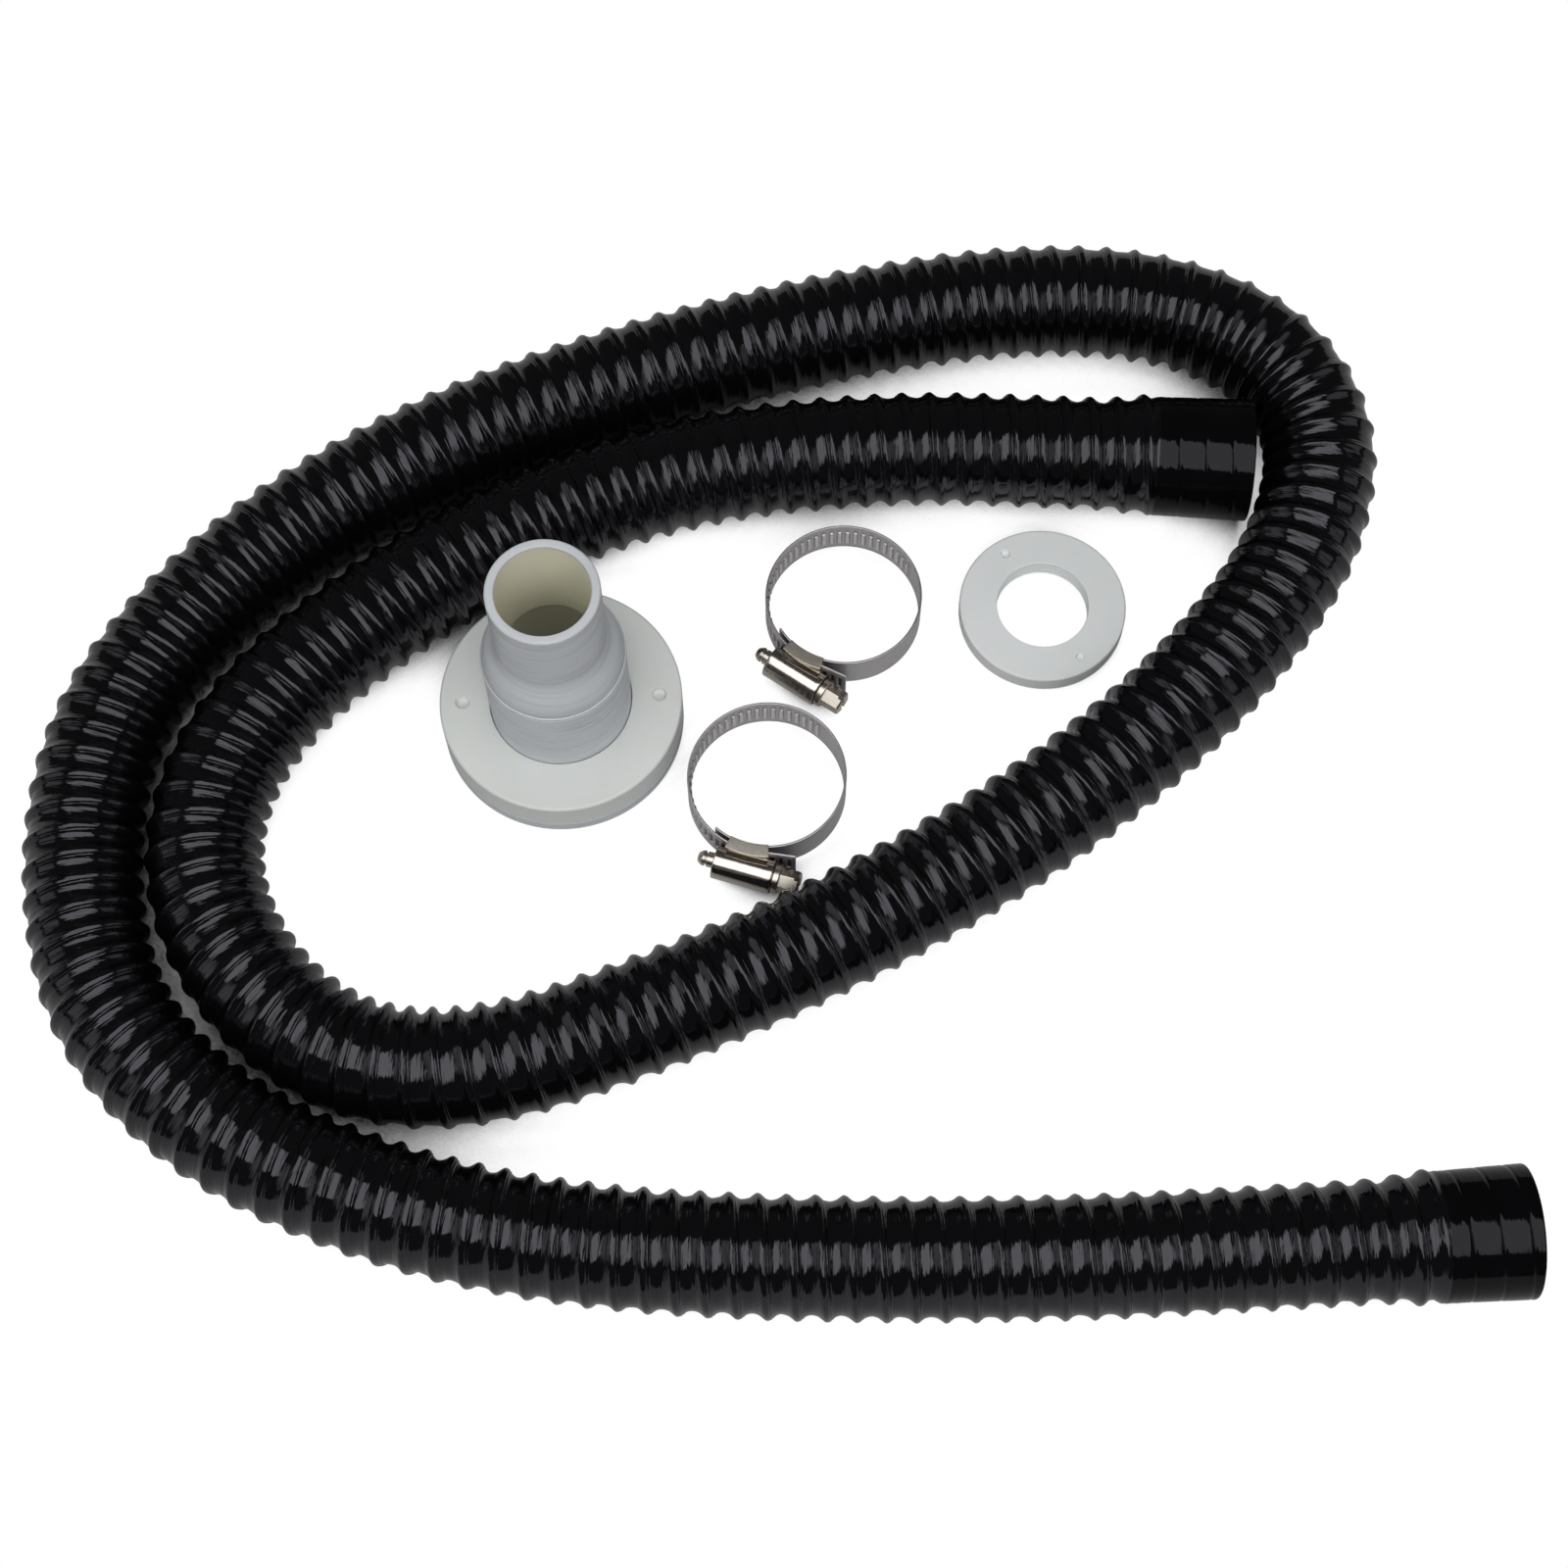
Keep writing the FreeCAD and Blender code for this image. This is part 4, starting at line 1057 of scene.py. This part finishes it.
def moulded_polypropylene(name, colours, tool_mark=0.0):
    """Injection-moulded white polypropylene: satin and faintly waxy, with the fine grain of a spark-eroded
    mould, drawn coarser than the real one, which is too fine to show. tool_mark is the depth of the rings
    that the turned mould leaves; their grooves are darkened to thin grey lines round the piece: painted
    shade."""
    material, tree = new_material(name)
    place = add(tree, "TexCoord").outputs["Object"]
    grain = blotches(tree, place, (0.5, 0.5, 0.5), detail=2)
    flow = blotches(tree, place, (18, 18, 18), detail=2)
    shade = add(tree, "Mix", {
        MIX_SHARE: flow, MIX_LOW: linear(colours[0]), MIX_HIGH: linear(colours[1]),
    }, data_type="RGBA").outputs[MIX_RESULT]
    relief = {"Height": grain, "Distance": 0.01 * MM, "Strength": 1.0}
    if tool_mark:
        ring = blotches(tree, place, (30, 30, 1.5), detail=1)
        line = add(tree, "MapRange", {"Value": ring, "From Min": 0.3, "From Max": 0.5}).outputs["Result"]
        # Painted shade: the rings' grooves are darkened to thin grey lines in the colour
        shade = add(tree, "Mix", {
            MIX_SHARE: line, MIX_LOW: linear("#C6CACE"), MIX_HIGH: shade,
        }, data_type="RGBA").outputs[MIX_RESULT]
        marks = add(tree, "Bump", {"Height": line, "Distance": tool_mark * MM})
        relief["Normal"] = marks.outputs["Normal"]
    bump = add(tree, "Bump", relief)
    return shaded(material, tree, Base_Color=shade, Roughness=0.42, IOR=1.49,
                  Subsurface_Weight=0.15, Subsurface_Scale=2 * MM, Normal=bump.outputs["Normal"])


def steel(material, tree, pattern, colours, roughness, relief):
    """Steel whose colour, dullness and height all follow one pattern."""
    bump = add(tree, "Bump", {"Height": pattern, "Distance": relief * MM, "Strength": 1.0})
    return shaded(material, tree, **toned(tree, pattern, colours, roughness), Metallic=1.0,
                  Normal=bump.outputs["Normal"])


def rolled_stainless(name, colours, roughness):
    """Cold-rolled stainless strip: grey and half dull, with fine rolling lines along the strip. The real
    lines are too fine to show, so they are drawn wider."""
    material, tree = new_material(name)
    wall = add(tree, "UVMap", uv_map=WALL_MAP).outputs["UV"]
    lines = blotches(tree, wall, (9, 0.12, 1000), detail=2)
    return steel(material, tree, lines, colours, roughness, relief=0.006)


def polished_stainless(name, roughness):
    """Pressed stainless sheet, barrel polished: bright and slightly warm, with the barrel's soft scuffs."""
    material, tree = new_material(name)
    place = add(tree, "TexCoord").outputs["Object"]
    scuffs = blotches(tree, place, (1.2, 1.2, 1.2), detail=4, roughness=0.65)
    return steel(material, tree, scuffs, ("#BDB4A8", "#E6E0D6"), roughness, relief=0.01)


def seen_white(tree, surface, share):
    """Mixes plain white into what cameras, mirrors and glass see of a backdrop, and keeps its shadows."""
    path = add(tree, "LightPath").outputs
    mirrored = add(tree, "Math", {
        0: path["Is Glossy Ray"], 1: path["Is Transmission Ray"],
    }, operation="MAXIMUM")
    mirrored = add(tree, "Math", {0: mirrored.outputs[0], 1: MIRRORED_SHARE}, operation="MULTIPLY")
    seen = add(tree, "Math", {0: path["Is Camera Ray"], 1: mirrored.outputs[0]}, operation="MAXIMUM")
    part = add(tree, "Math", {0: seen.outputs[0], 1: share}, operation="MULTIPLY")
    white = add(tree, "Emission", {"Color": (1, 1, 1, 1), "Strength": 1.0})
    return add(tree, "MixShader", {0: part.outputs[0], 1: surface, 2: white.outputs[0]}).outputs[0]


def make_floor():
    reach = FLOOR_REACH * MM
    corners = [[(side, end, 0) for side in (-reach, reach)] for end in (-reach, reach)]
    floor = one_grid("floor", np.array(corners))
    floor.location.z = -FLOOR_DROP * MM
    material, tree = new_material("white_paper_painted_shadow")
    openness = add(tree, "AmbientOcclusion", {"Distance": GAP_REACH * MM}, samples=16).outputs["AO"]
    depth, share = [add(tree, "MapRange", {
        "Value": openness, "From Min": low, "From Max": high,
    }, interpolation_type="SMOOTHSTEP").outputs["Result"] for low, high in (PAINTED_SHADOW_OPENNESS, WHITE_OPENNESS)]
    # Painted shadow: the paper's colour goes near black where little is open over it, in the gaps between
    # parts
    shade = add(tree, "Mix", {
        MIX_SHARE: depth, MIX_LOW: linear("#141414"), MIX_HIGH: linear("#B4B4B4"),
    }, data_type="RGBA")
    paper = add(tree, "BsdfDiffuse", {"Color": shade.outputs[MIX_RESULT]})
    add(tree, "OutputMaterial", {"Surface": seen_white(tree, paper.outputs[0], share)})
    floor.data.materials.append(material)


def make_world():
    """White where the camera looks past the floor, and a faint light from all round."""
    world = bpy.data.worlds.new("studio")
    world.use_nodes = True
    tree = world.node_tree
    tree.nodes.clear()
    seen = add(tree, "LightPath").outputs["Is Camera Ray"]
    strength = add(tree, "MapRange", {"Value": seen, "To Min": WORLD_LIGHT, "To Max": 1.0})
    sky = add(tree, "Background", {"Color": (1, 1, 1, 1), "Strength": strength.outputs["Result"]})
    add(tree, "OutputWorld", {"Surface": sky.outputs[0]})
    bpy.context.scene.world = world



def dress(thing, material, body, node=None, more=()):
    """Gives a piece its finish, and more where some faces differ, and its body, and hides the node it
    stands for.
    """
    for finish in (material, *more):
        thing.data.materials.append(finish)
    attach(thing, body)
    if node:
        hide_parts(node)


def route_end(end, neighbour):
    """Where a cuff starts and which way it points: the first or last run of the route."""
    seat = Vector((end[0], end[1], HOSE_RADIUS)) * MM
    return seat, Vector((end[0] - neighbour[0], end[1] - neighbour[1], 0)).normalized()


hose_line = Line(route_points())
vinyl = wound_vinyl("wound_vinyl", crease_height=0.28, gloss=0.52)
cuff_vinyl = wound_vinyl("smooth_vinyl", crease_height=0.09, gloss=0.18)
hose = make_hose(hose_line)
dress(hose, vinyl, "hose", "hose_tube")
near_cuff = make_cuff("near_cuff_sleeve", *route_end(HOSE_ROUTE[0], HOSE_ROUTE[1]), NEAR_CUFF_LENGTH)
dress(near_cuff, cuff_vinyl, "hose", "near_cuff")
far_cuff = make_cuff("far_cuff_sleeve", *route_end(HOSE_ROUTE[-1], HOSE_ROUTE[-2]), FAR_CUFF_LENGTH)
dress(far_cuff, cuff_vinyl, "hose", "far_cuff")
tuple(hose_line.points[0])
[tuple(point) for point in hose_line.points]

fitting_white = moulded_polypropylene(
    "moulded_polypropylene_fitting", ("#D0D4D8", "#D7DBDF"), tool_mark=0.012)
# The bore is the same plastic as the fitting, painted warmer and lighter: painted light inside the bore
bore_painted_light = moulded_polypropylene("moulded_polypropylene_bore_painted_light", ("#EAE8D4", "#F0EEDC"))
nut_white = moulded_polypropylene("moulded_polypropylene_nut", ("#E1E4E1", "#E8EBE9"))
ring_white = moulded_polypropylene("moulded_polypropylene_ring", ("#ECF0F0", "#F2F5F5"))
dress(make_fitting(), fitting_white, "fitting", "fitting_body", [bore_painted_light])
dress(make_lock_nut(), nut_white, "lock_nut", "lock_nut")
dress(make_ring_nut(), ring_white, "ring_nut", "ring_nut")

strip_steel = rolled_stainless("cold_rolled_stainless", ("#B7B4B7", "#DCD9DB"), roughness=(0.32, 0.48))
# A lighter, smoother steel for the threads' raised bars, painted highlight, and a dark one for their
# grooves, painted shade
bar_painted_highlight_steel = rolled_stainless("stainless_painted_highlight", ("#D9D6D6", "#F0EEEC"), roughness=(0.22, 0.34))
slot_painted_shade_steel = rolled_stainless(
    "cold_rolled_stainless_painted_slot_shade", ("#55525A", "#7B777E"), roughness=(0.4, 0.55))
sheet_steel = polished_stainless("barrel_polished_stainless", roughness=(0.1, 0.24))
saddle_steel = polished_stainless("tumbled_stainless", roughness=(0.3, 0.44))
screw_steel = polished_stainless("headed_stainless", roughness=(0.2, 0.38))
for clamp in ("clamp_a", "clamp_b"):
    place = clamp_place(clamp)
    band = make_band(clamp, place)
    dress(band, strip_steel, clamp, clamp + "_band", [bar_painted_highlight_steel, slot_painted_shade_steel])
    dress(make_saddle(clamp, place), saddle_steel, clamp, clamp + "_saddle")
    shell, feet = make_housing(clamp, place)
    dress(shell, sheet_steel, clamp, clamp + "_housing")
    dress(feet, sheet_steel, clamp)
    shank, head = make_screw(clamp, place)
    dress(shank, screw_steel, clamp + "_screw", clamp + "_screw")
    dress(head, screw_steel, clamp + "_screw")

make_floor()
make_world()
bpy.context.scene.view_settings.view_transform = "Standard"
